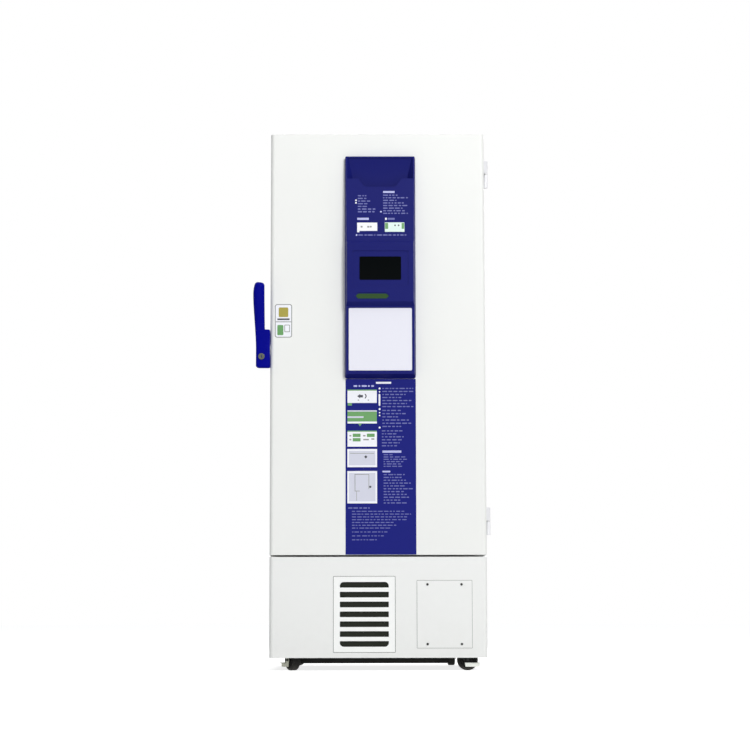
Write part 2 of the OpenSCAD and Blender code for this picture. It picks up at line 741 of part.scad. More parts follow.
// Blocks in the recess that carry the inner doors' pins
module inner_pivots() color("silver") place() {
    t = pivot_block_t;
    for (p = [[recess_z0, 0, 1], [recess_mid - t / 2, 1, 1], [recess_z1 - t, 1, 0]]) {
        block([inner_axis_x - 7, inner_set + 1, p[0]], [recess_w / 2, inner_y1 - 6, p[0] + t]);
        z_rod(inner_axis_x, inner_axis_y, p[0] - p[1] * 12, p[0] + t + p[2] * 12, inner_pin_r);
    }
}

// Base and skirts

pan_z = skirt_z + 6;
pan_t = 3;
pan_x = 225;
base_y0 = door_front + edge_r + 1;
ledge_z = caster_h;

module base_frame() color([0.16, 0.16, 0.17]) place() translate([0, cab_d - skin_t, 0]) rotate([90, 0, 0])
    linear_extrude(cab_d - skin_t - base_y0) polygon([
        [-in_x, skirt_z + 10], [skin_t * 2 - in_x, skirt_z + 10], [skin_t * 2 - in_x, ledge_z],
        [-pan_x, ledge_z], [-pan_x, pan_z], [pan_x, pan_z], [pan_x, ledge_z],
        [in_x - skin_t * 2, ledge_z], [in_x - skin_t * 2, skirt_z + 10], [in_x, skirt_z + 10],
        [in_x, ledge_z + pan_t], [pan_x - pan_t, ledge_z + pan_t], [pan_x - pan_t, pan_z + pan_t],
        [pan_t - pan_x, pan_z + pan_t], [pan_t - pan_x, ledge_z + pan_t], [-in_x, ledge_z + pan_t]]);

// Black channel under the pan, open below
skid_x0 = -320;
skid_x1 = 262;
skid_y = 40;
skid_d = 36;
skid_z0 = 24;
skid_t = 3;

module floor_skid() color([0.05, 0.05, 0.05]) place() difference() {
    block([skid_x0, skid_y, skid_z0], [skid_x1, skid_y + skid_d, pan_z]);
    block([skid_x0 + skid_t, skid_y + skid_t, skid_z0 - 1],
        [skid_x1 - skid_t, skid_y + skid_d - skid_t, pan_z - skid_t]);
}

panel_z0 = skirt_z;
grille_z = 200.5;
frame_gap = 1.5;
frame_d = 20;
frame_wall = 1.5;
ledge_w = 14;
ledge_t = 1.2;
cover_z = grille_z;
cover_lap = 14;

module front_panel() color(white) place() {
    w = grille_w + 2 * frame_gap;
    h = grille_h + 2 * frame_gap;
    difference() {
        translate([0, 0, panel_z0]) linear_extrude(deck_top - panel_z0) shell_plan(0, 0);
        translate([0, 0, panel_z0 - 1])
            linear_extrude(deck_top - panel_z0 + 1 - skin_t) shell_plan(skin_t, 1);
        front_plate(grille_x, grille_z, w, h, door_front - 1, 2 * skin_t + 1, 2);
        front_plate(cover_x, cover_z, cover_w - 2 * cover_lap, cover_h - 2 * cover_lap, door_front - 1,
            2 * skin_t + 1, 6);
        for (p = screw_places) y_rod(p[0], door_front - 1, door_front + 2 * skin_t, p[1], screw_r + seat);
    }
    // Frame round the grille, with a ledge that the grille and the filter rest on
    difference() {
        front_plate(grille_x, grille_z, w + 2 * frame_wall, h + 2 * frame_wall, door_front + skin_t,
            frame_d, 3);
        front_plate(grille_x, grille_z, w, h, door_front, grille_t + seat, 2);
        front_plate(grille_x, grille_z, w - 2 * ledge_w, h - 2 * ledge_w, door_front, frame_d + 3, 2);
        front_plate(grille_x, grille_z, w, h, ledge_y + ledge_t, frame_d, 2);
        for (p = stud_places) y_rod(p[0], door_front, door_front + frame_d, p[1], stud_r + seat);
    }
}

grille_t = 4;
ledge_y = door_front + grille_t + seat;
stud_r = 3;
stud_in = 5;
stud_places = [for (sx = [-1, 1]) for (sz = [-1, 1])
    [grille_x + sx * (grille_w / 2 - stud_in), grille_z + sz * (grille_h / 2 - stud_in)]];
slot_pitch = 35;

// Slot outline: the end slots have large round outer corners
module slot(i) {
    w = slot_w;
    h = slot_h;
    last = slot_count - 1;
    up = i == last ? 14 : 2;
    down = i == 0 ? 14 : 2;
    polygon(concat(arc([w / 2 - up, h / 2 - up], up, 0, 90), arc([up - w / 2, h / 2 - up], up, 90, 180),
        arc([down - w / 2, down - h / 2], down, 180, 270),
            arc([w / 2 - down, down - h / 2], down, 270, 360)));
}

module intake_grille() color(white) place() {
    difference() {
        front_plate(grille_x, grille_z, grille_w, grille_h, door_front, grille_t, 1.5);
        for (i = [0:slot_count - 1]) upright(door_front - 1, grille_t + 2)
            translate([grille_x, grille_z + (i - (slot_count - 1) / 2) * slot_pitch]) slot(i);
    }
    for (p = stud_places) y_rod(p[0], door_front + grille_t, ledge_y + ledge_t + 4, p[1], stud_r);
}

screw_r = 2;
screw_dx = 61;
screw_dz = 106;
screw_places = [for (sx = [-1, 1]) for (sz = [-1, 1]) [cover_x + sx * screw_dx, cover_z + sz * screw_dz]];
cover_t = 1.6;

module service_cover() color(white) place() difference() {
    front_plate(cover_x, cover_z, cover_w, cover_h, door_front - cover_t, cover_t, 1);
    for (p = screw_places) y_rod(p[0], door_front - 3, door_front + 1, p[1], screw_r + seat);
}

module cover_screws() color("dimgray") place() for (p = screw_places) difference() {
    union() {
        y_rod(p[0], door_front - cover_t - 2, door_front - cover_t, p[1], screw_r + 2.4);
        y_rod(p[0], door_front - cover_t, door_front + 8, p[1], screw_r);
    }
    for (a = [0, 90]) translate([p[0], door_front - cover_t - 2, p[1]]) rotate([0, a, 0])
        cube([5, 2, 0.9], center = true);
}

module filter_pad() color([0.1, 0.1, 0.1]) place()
    front_plate(grille_x, grille_z, grille_w + 2 * frame_gap - 2 * ledge_w + 6,
        grille_h + 2 * frame_gap - 2 * ledge_w + 6, ledge_y + ledge_t + seat, 12, 2);

// Refrigeration deck

deck_z = pan_z + pan_t;
coil_w = 250;
coil_z1 = 342;
coil_y0 = door_front + 32;
coil_d = 56;
coil_x0 = grille_x - coil_w / 2;
coil_x1 = grille_x + coil_w / 2;
tube_r = 5;
stub_r = 6;
stub_l = 20;
header_y = coil_y0 + coil_d / 2;
header_z = [deck_z + 34, coil_z1 - 30];

module condenser() color("silver") place() {
    rows = 6;
    span = coil_z1 - deck_z - 40;
    for (x = [coil_x0, coil_x1 - 2]) block([x, coil_y0, deck_z], [x + 2, coil_y0 + coil_d, coil_z1]);
    for (i = [0:fin_count - 1])
        translate([coil_x0 + 8 + i * (coil_w - 17) / (fin_count - 1), coil_y0 + 2, deck_z + 8])
            cube([0.8, coil_d - 4, coil_z1 - deck_z - 12]);
    for (i = [0:rows - 1]) for (y = [coil_y0 + 16, coil_y0 + coil_d - 16])
        x_rod(coil_x0 - 4, coil_x1 + 4, y, deck_z + 22 + i * span / (rows - 1), tube_r);
    for (z = header_z) x_rod(coil_x1 - 1, coil_x1 + stub_l, header_y, z, stub_r);
}

fan_z = grille_z;
ring_r = fan_r + 7;
ring_t = 3;
spider_t = 6;
spider_w = 14;
shroud_y = coil_y0 + coil_d;
fan_y = shroud_y + 8;
hub_r = 26;
hub_l = 30;
motor_y = fan_y + hub_l + 12;
motor_r = 40;
motor_l = 62;
shaft_r = 4;

module fan_shroud() color("dimgray") place() {
    difference() {
        union() {
            block([coil_x0, shroud_y, deck_z], [coil_x1, shroud_y + 2, coil_z1]);
            y_rod(grille_x, shroud_y, motor_y + 9, fan_z, ring_r + ring_t);
        }
        y_rod(grille_x, shroud_y - 1, motor_y + 10, fan_z, ring_r);
    }
    difference() {
        for (a = [45, 135]) translate([grille_x, motor_y + 4, fan_z]) rotate([0, a, 0])
            cube([2 * ring_r + ring_t, spider_t, spider_w], center = true);
        y_rod(grille_x, motor_y, motor_y + 10, fan_z, motor_r - 4);
    }
    y_rod(grille_x, motor_y, motor_y + motor_l, fan_z, motor_r);
    y_rod(grille_x, fan_y + 4, motor_y + 1, fan_z, shaft_r);
}

blade_pitch = 34;
blade_curve_r = 58;
blade_half_arc = 20;
blade_half_t = 1.2;

// One blade: a cambered strip carried out along the radius
module fan_blade() rotate([0, 0, blade_pitch]) translate([0, 0, hub_r - 3])
    linear_extrude(fan_r - hub_r + 3) translate([0, -blade_curve_r]) polygon(concat(
        arc([0, 0], blade_curve_r + blade_half_t, 90 - blade_half_arc, 90 + blade_half_arc),
        arc([0, 0], blade_curve_r - blade_half_t, 90 + blade_half_arc, 90 - blade_half_arc)));

module fan_rotor() color([0.12, 0.12, 0.13]) place() difference() {
    union() {
        y_rod(grille_x, fan_y, fan_y + hub_l, fan_z, hub_r);
        intersection() {
            y_rod(grille_x, fan_y, fan_y + hub_l, fan_z, fan_r);
            for (i = [0:blade_count - 1]) translate([grille_x, fan_y + hub_l / 2, fan_z])
                rotate([0, i * 360 / blade_count, 0]) fan_blade();
        }
    }
    y_rod(grille_x, fan_y - 1, fan_y + hub_l + 1, fan_z, shaft_r + run);
}

comp_y = 345;
comp_x = [-108, 112];
comp_h = 214;
foot_h = 18;
stub_top = 318;
// Distance of a compressor's two stubs from its axis
stub_dx = 24;

// Hermetic compressor: domed shell with a welded girth on a plate with four rubber feet
module compressor(x) translate([x, comp_y, deck_z]) {
    r = comp_r;
    for (sx = [-1, 1]) for (sy = [-1, 1]) translate([sx * 66, sy * 66, 0]) cylinder(r = 12, h = foot_h);
    difference() {
        translate([0, 0, foot_h]) linear_extrude(3) polygon(round_rect(164, 164, 18));
        translate([0, 0, foot_h - 1]) cylinder(r = 40, h = 5);
    }
    translate([0, 0, foot_h + 3]) rotate_extrude() polygon(concat([[0, 0]],
        arc([r - 24, 24], 24, 270, 360), [[r, comp_h * 0.5], [r + 5, comp_h * 0.5], [r + 5, comp_h * 0.5 + 6],
        [r, comp_h * 0.5 + 6]], arc([r - 50, comp_h - 50], 50, 0, 90, 8), [[0, comp_h]]));
    for (s = [-1, 1]) translate([s * stub_dx, 0, comp_h - 20])
        cylinder(r = stub_r, h = stub_top - deck_z - comp_h + 20);
    translate([-24, -r - 18, foot_h + 60]) cube([48, 30, 64]);
}

module compressors() color([0.08, 0.08, 0.09]) place() for (x = comp_x) compressor(x);

hx_x = -122;
hx_y = 610;
hx_r = 74;
hx_top = 322;

module heat_exchanger() color([0.1, 0.1, 0.1]) place() translate([hx_x, hx_y, deck_z]) {
    rotate_extrude() polygon(concat([[0, 0], [hx_r - 6, 0], [hx_r, 6]],
        arc([hx_r - 20, hx_top - deck_z - 20], 20, 0, 90), [[0, hx_top - deck_z]]));
    for (s = [-1, 1]) translate([s * 30, 0, hx_top - deck_z - 4]) cylinder(r = stub_r, h = 16);
}

vessel_x = [56, 140];
vessel_y = hx_y - 10;
vessel_r = 31;
vessel_top = 300;

module oil_vessels() color("darkslategray") place() for (x = vessel_x) translate([x, vessel_y, deck_z]) {
    rotate_extrude() polygon(concat([[0, 0], [vessel_r, 0]],
        arc([vessel_r - 20, vessel_top - deck_z - 20], 20, 0, 90), [[0, vessel_top - deck_z]]));
    translate([0, 0, vessel_top - deck_z - 3]) cylinder(r = stub_r, h = 21);
}

function unit(v) = v / norm(v);

// Route through the corners p, each rounded to the radius r
function bends(p, r, n = 4) = [for (i = [0:len(p) - 1])
    if (i == 0 || i == len(p) - 1) p[i]
    else let (a = unit(p[i - 1] - p[i]), b = unit(p[i + 1] - p[i])) each
        [for (k = [0:n]) let (t = 90 * k / n) p[i] + r * (a * (1 - sin(t)) + b * (1 - cos(t)))]];

// Frames carried along a route, each as its side direction
function sides(p, t, i, u) = let (v = unit(u - (u * t[i]) * t[i])) i == len(p) - 1 ? [v]
    : concat([v], sides(p, t, i + 1, v));

// Tube of radius r along the route p
module tube(p, r, u, n = 8) {
    last = len(p) - 1;
    t = [for (i = [0:last]) unit(unit(p[min(i + 1, last)] - p[min(i, last - 1)])
        + unit(p[max(i, 1)] - p[max(i - 1, 0)]))];
    s = sides(p, t, 0, u);
    points = [for (i = [0:last]) let (w = cross(t[i], s[i])) for (k = [0:n - 1])
        p[i] + r * (s[i] * cos(360 * k / n) + w * sin(360 * k / n))];
    walls = [for (i = [0:last - 1]) for (k = [0:n - 1])
        let (a = i * n + k, b = i * n + (k + 1) % n) [a, a + n, b + n, b]];
    polyhedron(points, concat([[for (k = [0:n - 1]) k]], walls, [[for (k = [n - 1:-1:0]) last * n + k]]), 10);
}

// Heights of the level runs, one for each line
run_z = [for (i = [0:4]) stub_top + 18 + 13 * i];
bend_r = 12;

module refrigerant_lines() color("peru") place() {
    top_stub = vessel_top + 18;
    hx_stub = hx_top + 12;
    routes = [
        // Discharge of the first compressor to the condenser
        [[comp_x[0] + stub_dx, comp_y, stub_top], [comp_x[0] + stub_dx, comp_y, run_z[3]],
            [comp_x[0] + stub_dx, 200, run_z[3]],
            [coil_x1 + 60, 200, run_z[3]], [coil_x1 + 60, header_y, run_z[3]],
            [coil_x1 + 60, header_y, header_z[1]], [coil_x1 + stub_l, header_y, header_z[1]]],
        // Liquid from the condenser to the second vessel
        [[coil_x1 + stub_l, header_y, header_z[0]], [coil_x1 + 84, header_y, header_z[0]],
            [coil_x1 + 84, 215, header_z[0]], [coil_x1 + 84, 215, run_z[1]],
                [vessel_x[1] + 74, 215, run_z[1]],
            [vessel_x[1] + 74, vessel_y, run_z[1]], [vessel_x[1], vessel_y, run_z[1]],
            [vessel_x[1], vessel_y, top_stub]],
        // Discharge of the second compressor to the first vessel
        [[comp_x[1] + stub_dx, comp_y, stub_top], [comp_x[1] + stub_dx, comp_y, run_z[2]],
            [comp_x[1] + stub_dx, 480, run_z[2]],
            [vessel_x[0], 480, run_z[2]], [vessel_x[0], vessel_y, run_z[2]],
                [vessel_x[0], vessel_y, top_stub]],
        // Suction of both compressors from the heat exchanger
        [[comp_x[1] - stub_dx, comp_y, stub_top], [comp_x[1] - stub_dx, comp_y, run_z[1]],
            [comp_x[1] - stub_dx, 500, run_z[1]],
            [hx_x + 30, 500, run_z[1]], [hx_x + 30, hx_y, run_z[1]], [hx_x + 30, hx_y, hx_stub]],
        [[comp_x[0] - stub_dx, comp_y, stub_top], [comp_x[0] - stub_dx, comp_y, run_z[2]],
            [comp_x[0] - stub_dx, 480, run_z[2]], [hx_x - 30, 480, run_z[2]], [hx_x - 30, hx_y, run_z[2]],
            [hx_x - 30, hx_y, hx_stub]]];
    for (i = [0:len(routes) - 1]) tube(bends(routes[i], bend_r), tube_r, [1, 0.01, 0.02]);
}

// Control box: a tray that is open to the front, and its lid
box_y0 = -40;
box_y1 = 170;
box_x0 = pan_x + 6;
box_x1 = in_x - 4;
box_z0 = ledge_z + pan_t;
box_z1 = deck_top - 25;
box_t = 2;

module control_box() color([0.75, 0.76, 0.77]) place() {
    difference() {
        block([box_x0, box_y0, box_z0], [box_x1, box_y1, box_z1]);
        block([box_x0 + box_t, box_y0 - 1, box_z0 + box_t], [box_x1 - box_t, box_y1 - box_t, box_z1 - box_t]);
    }
    block([box_x0, box_y0 - box_t, box_z0], [box_x1, box_y0, box_z1]);
}

louvre_rows = 8;
louvre_x = [-150, 110];
louvre_w = 230;
louvre_h = 12;
louvre_out = 8;
louvre_pitch = 30;
louvre_z = ledge_z + pan_t + 21;
inlet_x = 300;
inlet_z = 330;

module rear_cover() color(white) place() {
    y0 = cab_d - skin_t;
    y1 = cab_d;
    difference() {
        block([-side_x, y0, skirt_z], [side_x, y1, deck_top]);
        for (sx = louvre_x) for (i = [0:louvre_rows - 1])
            block([sx - louvre_w / 2, y0 - 1, louvre_z + i * louvre_pitch],
                [sx + louvre_w / 2, y1 + 1, louvre_z + louvre_h + i * louvre_pitch]);
        block([inlet_x - 24, y0 - 1, inlet_z - 16], [inlet_x + 24, y1 + 1, inlet_z + 16]);
    }
    for (sx = louvre_x) for (i = [0:louvre_rows - 1])
        sideways(sx - louvre_w / 2, louvre_w) translate([y1, louvre_z + louvre_h + i * louvre_pitch])
            polygon([[-skin_t / 2, 0], [0, 0], [louvre_out - 1, -louvre_h], [louvre_out, -louvre_h],
                [louvre_out, 2 - louvre_h], [0, 4], [-skin_t / 2, 4]]);
}

module power_inlet() color([0.08, 0.08, 0.08]) place() {
    difference() {
        union() {
            front_plate(inlet_x, inlet_z, 62, 44, cab_d, 3, 4);
            block([inlet_x - 23.5, cab_d - 26, inlet_z - 15.5],
                [inlet_x + 23.5, cab_d + eps, inlet_z + 15.5]);
        }
        front_plate(inlet_x, inlet_z, 36, 22, cab_d - 20, 30, 3);
    }
    for (p = [[-11, -3], [0, 4], [11, -3]])
        block([inlet_x + p[0] - 1, cab_d - 22, inlet_z + p[1] - 3],
            [inlet_x + p[0] + 1, cab_d - 3, inlet_z + p[1] + 3]);
}

// Casters, each drawn with its trail along +x and then turned to its heading

plate_t = 3.5;
race_h = 8.5;
race_r = 28;
king_r = 6;
crown_t = 7.5;
leg_t = 3;
leg_gap = 2;
axle_z = wheel_d / 2;
race_z = caster_h - plate_t - race_h;
leg_y = wheel_w / 2 + leg_gap;
caster_front_y = -40;
caster_rear_y = cab_d - 75;
// Places and headings: front left, front right, rear left, rear right
casters = [[-caster_x, caster_front_y, 120], [caster_x, caster_front_y, 0],
    [-caster_x, caster_rear_y, 140], [caster_x, caster_rear_y, 90]];

module at_caster(i) translate([casters[i][0], casters[i][1], 0]) rotate([0, 0, casters[i][2]]) children();

module caster_plates() color("silver") place() for (c = casters) translate([c[0], c[1], 0]) {
    difference() {
        translate([0, 0, caster_h - plate_t]) linear_extrude(plate_t) polygon(round_rect(100, 84, 8));
        for (sx = [-1, 1]) for (sy = [-1, 1])
            z_rod(sx * 39, sy * 31, caster_h - plate_t - 1, caster_h + 1, 4.2);
    }
    z_rod(0, 0, race_z, caster_h - plate_t, race_r);
    z_rod(0, 0, race_z - crown_t - 2 * seat - 3, race_z, king_r);
    z_rod(0, 0, race_z - crown_t - 2 * seat - 3, race_z - crown_t - 2 * seat, king_r + 4);
}

module fork(brake) {
    crown_z = race_z - seat - crown_t;
    difference() {
        union() {
            z_rod(0, 0, crown_z, race_z - seat, race_r - 1);
            both_legs() translate([0, leg_y, 0]) rotate([90, 0, 0]) mirror([0, 0, 1]) linear_extrude(leg_t)
                polygon(concat(arc([trail, axle_z], 12, 190, 350, 8),
                    [[26, crown_z + 2], [26, crown_z + 5], [-17, crown_z + 5], [-17, crown_z - 6]]));
            y_rod(trail, -leg_y - leg_t - 2 - (brake == -1 ? 5 : 0),
                leg_y + leg_t + 2 + (brake == 1 ? 5 : 0), axle_z, axle_r);
        }
        z_rod(0, 0, crown_z - 1, race_z, king_r + run);
    }
}

module both_legs() {
    children();
    mirror([0, 1, 0]) children();
}

module wheel() translate([trail, wheel_w / 2, axle_z]) rotate([90, 0, 0]) rotate_extrude() {
    r = wheel_d / 2;
    w = wheel_w;
    polygon(concat([[axle_r + run, 0.5], [14, 0.5], [16, 4], [r - 12, 4], [r - 10, 1]],
        arc([r - 6, 6], 6, 270, 360, 4), arc([r - 6, w - 6], 6, 0, 90, 4),
        [[r - 10, w - 1], [r - 12, w - 4], [16, w - 4], [14, w - 0.5], [axle_r + run, w - 0.5]]));
}

// Length of a brake lever from the axle, and the heights of its band below the axle
pedal_l = 44;
pedal_band = [9, 24.5];

// Brake lever on the outside of one leg, turning about the axle
module pedal(side) {
    y = leg_y + leg_t + seat;
    mirror([0, side == 1 ? 0 : 1, 0]) difference() {
        union() {
            translate([0, y, 0]) rotate([90, 0, 0]) mirror([0, 0, 1]) linear_extrude(2.5)
                translate([trail, axle_z]) polygon(concat(arc([0, 0], 12, -20, 200, 8),
                    [[-8, -pedal_band[1]], [pedal_l - 4, -pedal_band[1]], [pedal_l, 4 - pedal_band[1]],
                        [pedal_l, -pedal_band[0]], [16, -pedal_band[0]]]));
            block([trail + 17, y + 1, axle_z - pedal_band[0] - 3],
                [trail + pedal_l - 1, y + 9, axle_z - pedal_band[0]]);
        }
        y_rod(trail, y - 1, y + 12, axle_z, axle_r + run);
    }
}

module fork_front_left() color("silver") place() at_caster(0) fork(1);
module fork_front_right() color("silver") place() at_caster(1) fork(-1);
module fork_rear_left() color("silver") place() at_caster(2) fork(0);
module fork_rear_right() color("silver") place() at_caster(3) fork(0);
module wheel_front_left() color([0.07, 0.07, 0.07]) place() at_caster(0) wheel();
module wheel_front_right() color([0.07, 0.07, 0.07]) place() at_caster(1) wheel();
module wheel_rear_left() color([0.07, 0.07, 0.07]) place() at_caster(2) wheel();
module wheel_rear_right() color([0.07, 0.07, 0.07]) place() at_caster(3) wheel();
module pedal_left() color("silver") place() at_caster(0) pedal(1);
module pedal_right() color("silver") place() at_caster(1) pedal(-1);

side_panels();
end_panels();
rear_panel();
wall_foam();
inner_liner();
breaker_frame();
shelves();
shelf_supports();
hinge_frame_leaves();
hinge_pins();
inner_pivots();
latch_striker();
access_port_sleeve();
rear_spacers();
base_frame();
floor_skid();
front_panel();
service_cover();
cover_screws();
filter_pad();
condenser();
fan_shroud();
compressors();
heat_exchanger();
oil_vessels();
refrigerant_lines();
control_box();
rear_cover();
power_inlet();
caster_plates();
door_skin();
door_foam();
door_liner();
door_gasket();
hinge_door_leaves();
fascia_housing();
display_screen();
status_lens();
note_plate();
instruction_sheet();
handle_bracket();
handle_lever();
latch_hook();
lock_cylinder();
inner_door_upper();
inner_door_lower();
inner_gasket_upper();
inner_gasket_lower();
fan_rotor();
intake_grille();
fork_front_left();
fork_front_right();
fork_rear_left();
fork_rear_right();
wheel_front_left();
wheel_front_right();
wheel_rear_left();
wheel_rear_right();
pedal_left();
pedal_right();
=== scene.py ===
"""Dressed view of an upright ultra low temperature freezer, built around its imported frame.

Sizes are millimetres in the working frame of the part's source: x = 0 at the middle of the cabinet,
y = 0 at the face that the door seals on, with +y to the back, and z = 0 on the floor. placed()
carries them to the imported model's frame, in metres.
"""

from __future__ import annotations

import logging
import math
from collections.abc import Callable, Sequence
from dataclasses import dataclass, field
from enum import Enum

import bmesh
import bpy
import numpy as np
from mathutils import Matrix, Vector

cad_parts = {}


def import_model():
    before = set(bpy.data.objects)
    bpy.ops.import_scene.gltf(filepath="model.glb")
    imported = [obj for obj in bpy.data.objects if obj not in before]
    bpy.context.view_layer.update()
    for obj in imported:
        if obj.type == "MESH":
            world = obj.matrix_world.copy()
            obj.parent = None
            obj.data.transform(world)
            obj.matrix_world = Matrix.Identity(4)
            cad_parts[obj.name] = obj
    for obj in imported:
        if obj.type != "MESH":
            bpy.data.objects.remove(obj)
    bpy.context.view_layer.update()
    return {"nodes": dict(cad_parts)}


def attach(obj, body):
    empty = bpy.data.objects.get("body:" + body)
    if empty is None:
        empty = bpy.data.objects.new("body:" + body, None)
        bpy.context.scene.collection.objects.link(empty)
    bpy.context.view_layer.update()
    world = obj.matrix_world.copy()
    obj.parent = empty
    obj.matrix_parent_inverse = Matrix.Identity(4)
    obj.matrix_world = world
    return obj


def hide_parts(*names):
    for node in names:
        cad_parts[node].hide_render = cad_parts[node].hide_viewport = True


LOG = logging.getLogger("freezer")
MM = 0.001
ORIGIN = np.array([20.5, -348.5, 0.0])
# Points of a mesh that are nearer than this, in metres, are one point
SAME_PLACE = 1e-7
# Radius in millimetres at which a turned profile ends on its axis, so that its last ring keeps a size
TIP = 0.05
# How far the back of a printed plate lies inside the surface below it, in millimetres
PLATE_SUNK = 0.3
# Front face of the door and of the machine deck's panel
FRONT_FACE = -117.0


def placed(points: np.ndarray) -> np.ndarray:
    """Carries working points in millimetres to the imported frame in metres: (p + origin) / 1000."""
    return (np.asarray(points, float) + ORIGIN) * MM


def linear(colour: tuple[int, int, int]) -> tuple[float, float, float, float]:
    """Turns an 8-bit screen colour into scene-linear light.

    Args:
        colour: red, green and blue from 0 to 255.

    Returns:
        Linear red, green, blue and a full alpha.
    """
    share = np.array(colour, float) / 255
    bent = np.where(share <= 0.04045, share / 12.92, ((share + 0.055) / 1.055) ** 2.4)
    return (float(bent[0]), float(bent[1]), float(bent[2]), 1.0)


def ease(t: np.ndarray) -> np.ndarray:
    """Smooth step from 0 to 1: 3t^2 - 2t^3, held at its ends."""
    t = np.clip(t, 0.0, 1.0)
    return t * t * (3 - 2 * t)


def turns(count: int) -> np.ndarray:
    """Angles round a full turn, in as many equal steps as asked."""
    return np.arange(count) * (2 * math.pi) / count


# Meshes


@dataclass
class Shape:
    """A mesh in the working frame: its points and its faces, each face a list of point numbers."""

    points: np.ndarray
    faces: list[list[int]]
    tones: list[int] = field(default_factory=list)

    @staticmethod
    def joined(parts: Sequence[Shape]) -> Shape:
        """Puts several shapes into one, with each part's point numbers moved up by those before it."""
        starts = np.cumsum([0] + [len(part.points) for part in parts])
        faces = [[i + int(start) for i in face] for part, start in zip(parts, starts) for face in part.faces]
        tones = [tone for part in parts for tone in (part.tones or [0] * len(part.faces))]
        return Shape(np.vstack([part.points for part in parts]), faces, tones)


def grid_quads(rows: int, columns: int, ring_rows: bool = False, ring_columns: bool = False) -> np.ndarray:
    """Quads between the points of a grid that is stored row by row.

    Args:
        rows: number of rows.
        columns: number of points in a row.
        ring_rows: joins the last row to the first.
        ring_columns: joins the last column to the first.

    Returns:
        An array of point numbers, four to a face.
    """
    r = np.arange(rows if ring_rows else rows - 1)
    c = np.arange(columns if ring_columns else columns - 1)
    a, b = np.meshgrid(r, c, indexing="ij")
    down, right = (a + 1) % rows, (b + 1) % columns
    corners = [a * columns + b, a * columns + right, down * columns + right, down * columns + b]
    return np.stack(corners, axis=-1).reshape(-1, 4)


def skinned(rows: np.ndarray) -> Shape:
    """Joins closed rings of points, shaped (rows, columns, 3), into a tube and caps its two ends."""
    count, columns = rows.shape[:2]
    faces = grid_quads(count, columns, ring_columns=True).tolist()
    caps = [list(range(columns)), list(range((count - 1) * columns, count * columns))]
    return Shape(rows.reshape(-1, 3), [*faces, *caps])


def rounded_rings(half: np.ndarray, radius: np.ndarray, per_corner: int) -> np.ndarray:
    """Outlines of rectangles with round corners about the origin, one for each row of half sizes.

    Each corner is an arc centre + radius * (cos a, sin a), with a running over its own quarter turn.

    Args:
        half: half widths and half heights, two numbers to a row.
        radius: corner radius of each row.
        per_corner: points in each corner.

    Returns:
        An array shaped (rows, points, 2), counterclockwise.
    """
    angle = np.linspace(0, math.pi / 2, per_corner) + np.arange(4)[:, None] * math.pi / 2
    signs = np.array([[1, 1], [-1, 1], [-1, -1], [1, -1]], float)
    centres = signs * (half - radius[:, None])[:, None, :]
    arcs = radius[:, None, None, None] * np.stack([np.cos(angle), np.sin(angle)], axis=-1)
    return (centres[:, :, None, :] + arcs).reshape(len(half), -1, 2)


def rounded_ring(half: tuple[float, float], radius: float, per_corner: int) -> np.ndarray:
    """Outline of one rectangle with round corners, as points of two numbers each."""
    return rounded_rings(np.array([half], float), np.array([radius], float), per_corner)[0]


def lathed(profile: np.ndarray, centre: Sequence[float], axis: Sequence[float], count: int = 20) -> Shape:
    """Turns a profile of (radius, height) about an axis: centre + radius * (cos, sin) + height * axis."""
    along = np.array(axis, float)
    side = np.cross(along, [0.0, 0.0, 1.0] if abs(along[2]) < 0.9 else [1.0, 0.0, 0.0])
    side /= np.linalg.norm(side)
    up = np.cross(along, side)
    angle = turns(count)
    circle = np.cos(angle)[:, None] * side + np.sin(angle)[:, None] * up
    rows = profile[:, 0, None, None] * circle + profile[:, 1, None, None] * along + np.array(centre, float)
    return skinned(rows)


def swept_frame(profile: np.ndarray, half: tuple[float, float], middle: tuple[float, float],
                corner: float, per_corner: int = 8) -> Shape:
    """Carries a closed profile round a rectangle with round corners in the x-z plane.

    A profile point (e, y) draws the outline that lies e inside the rectangle, at the depth y. Its
    corner radius is corner - e and never under a tenth of the corner, so that the rings stay parallel.

    Args:
        profile: points of (inset, depth).
        half: half of the rectangle's width and height.
        middle: its middle in x and z.
        corner: corner radius of the rectangle at inset 0.
        per_corner: points in each corner.

    Returns:
        The ring as a shape.
    """
    rings = []
    for inset, depth in profile:
        ring = rounded_ring((half[0] - inset, half[1] - inset), max(corner - inset, corner * 0.1), per_corner)
        ring += middle
        rings.append(np.insert(ring, 1, depth, axis=1))
    rows = np.array(rings)
    return Shape(rows.reshape(-1, 3), grid_quads(*rows.shape[:2], ring_rows=True, ring_columns=True).tolist())


def closed_spline(points: np.ndarray, per_span: int = 4) -> np.ndarray:
    """Smooth closed curve through points, each span a cubic whose end slopes are half its neighbours' gap."""
    before, after, next_after = np.roll(points, 1, 0), np.roll(points, -1, 0), np.roll(points, -2, 0)
    t = (np.arange(per_span) / per_span)[:, None, None]
    slope_a, slope_b = (after - before) / 2, (next_after - points) / 2
    curve = ((2 * t**3 - 3 * t**2 + 1) * points + (t**3 - 2 * t**2 + t) * slope_a
             + (3 * t**2 - 2 * t**3) * after + (t**3 - t**2) * slope_b)
    return curve.transpose(1, 0, 2).reshape(-1, points.shape[1])


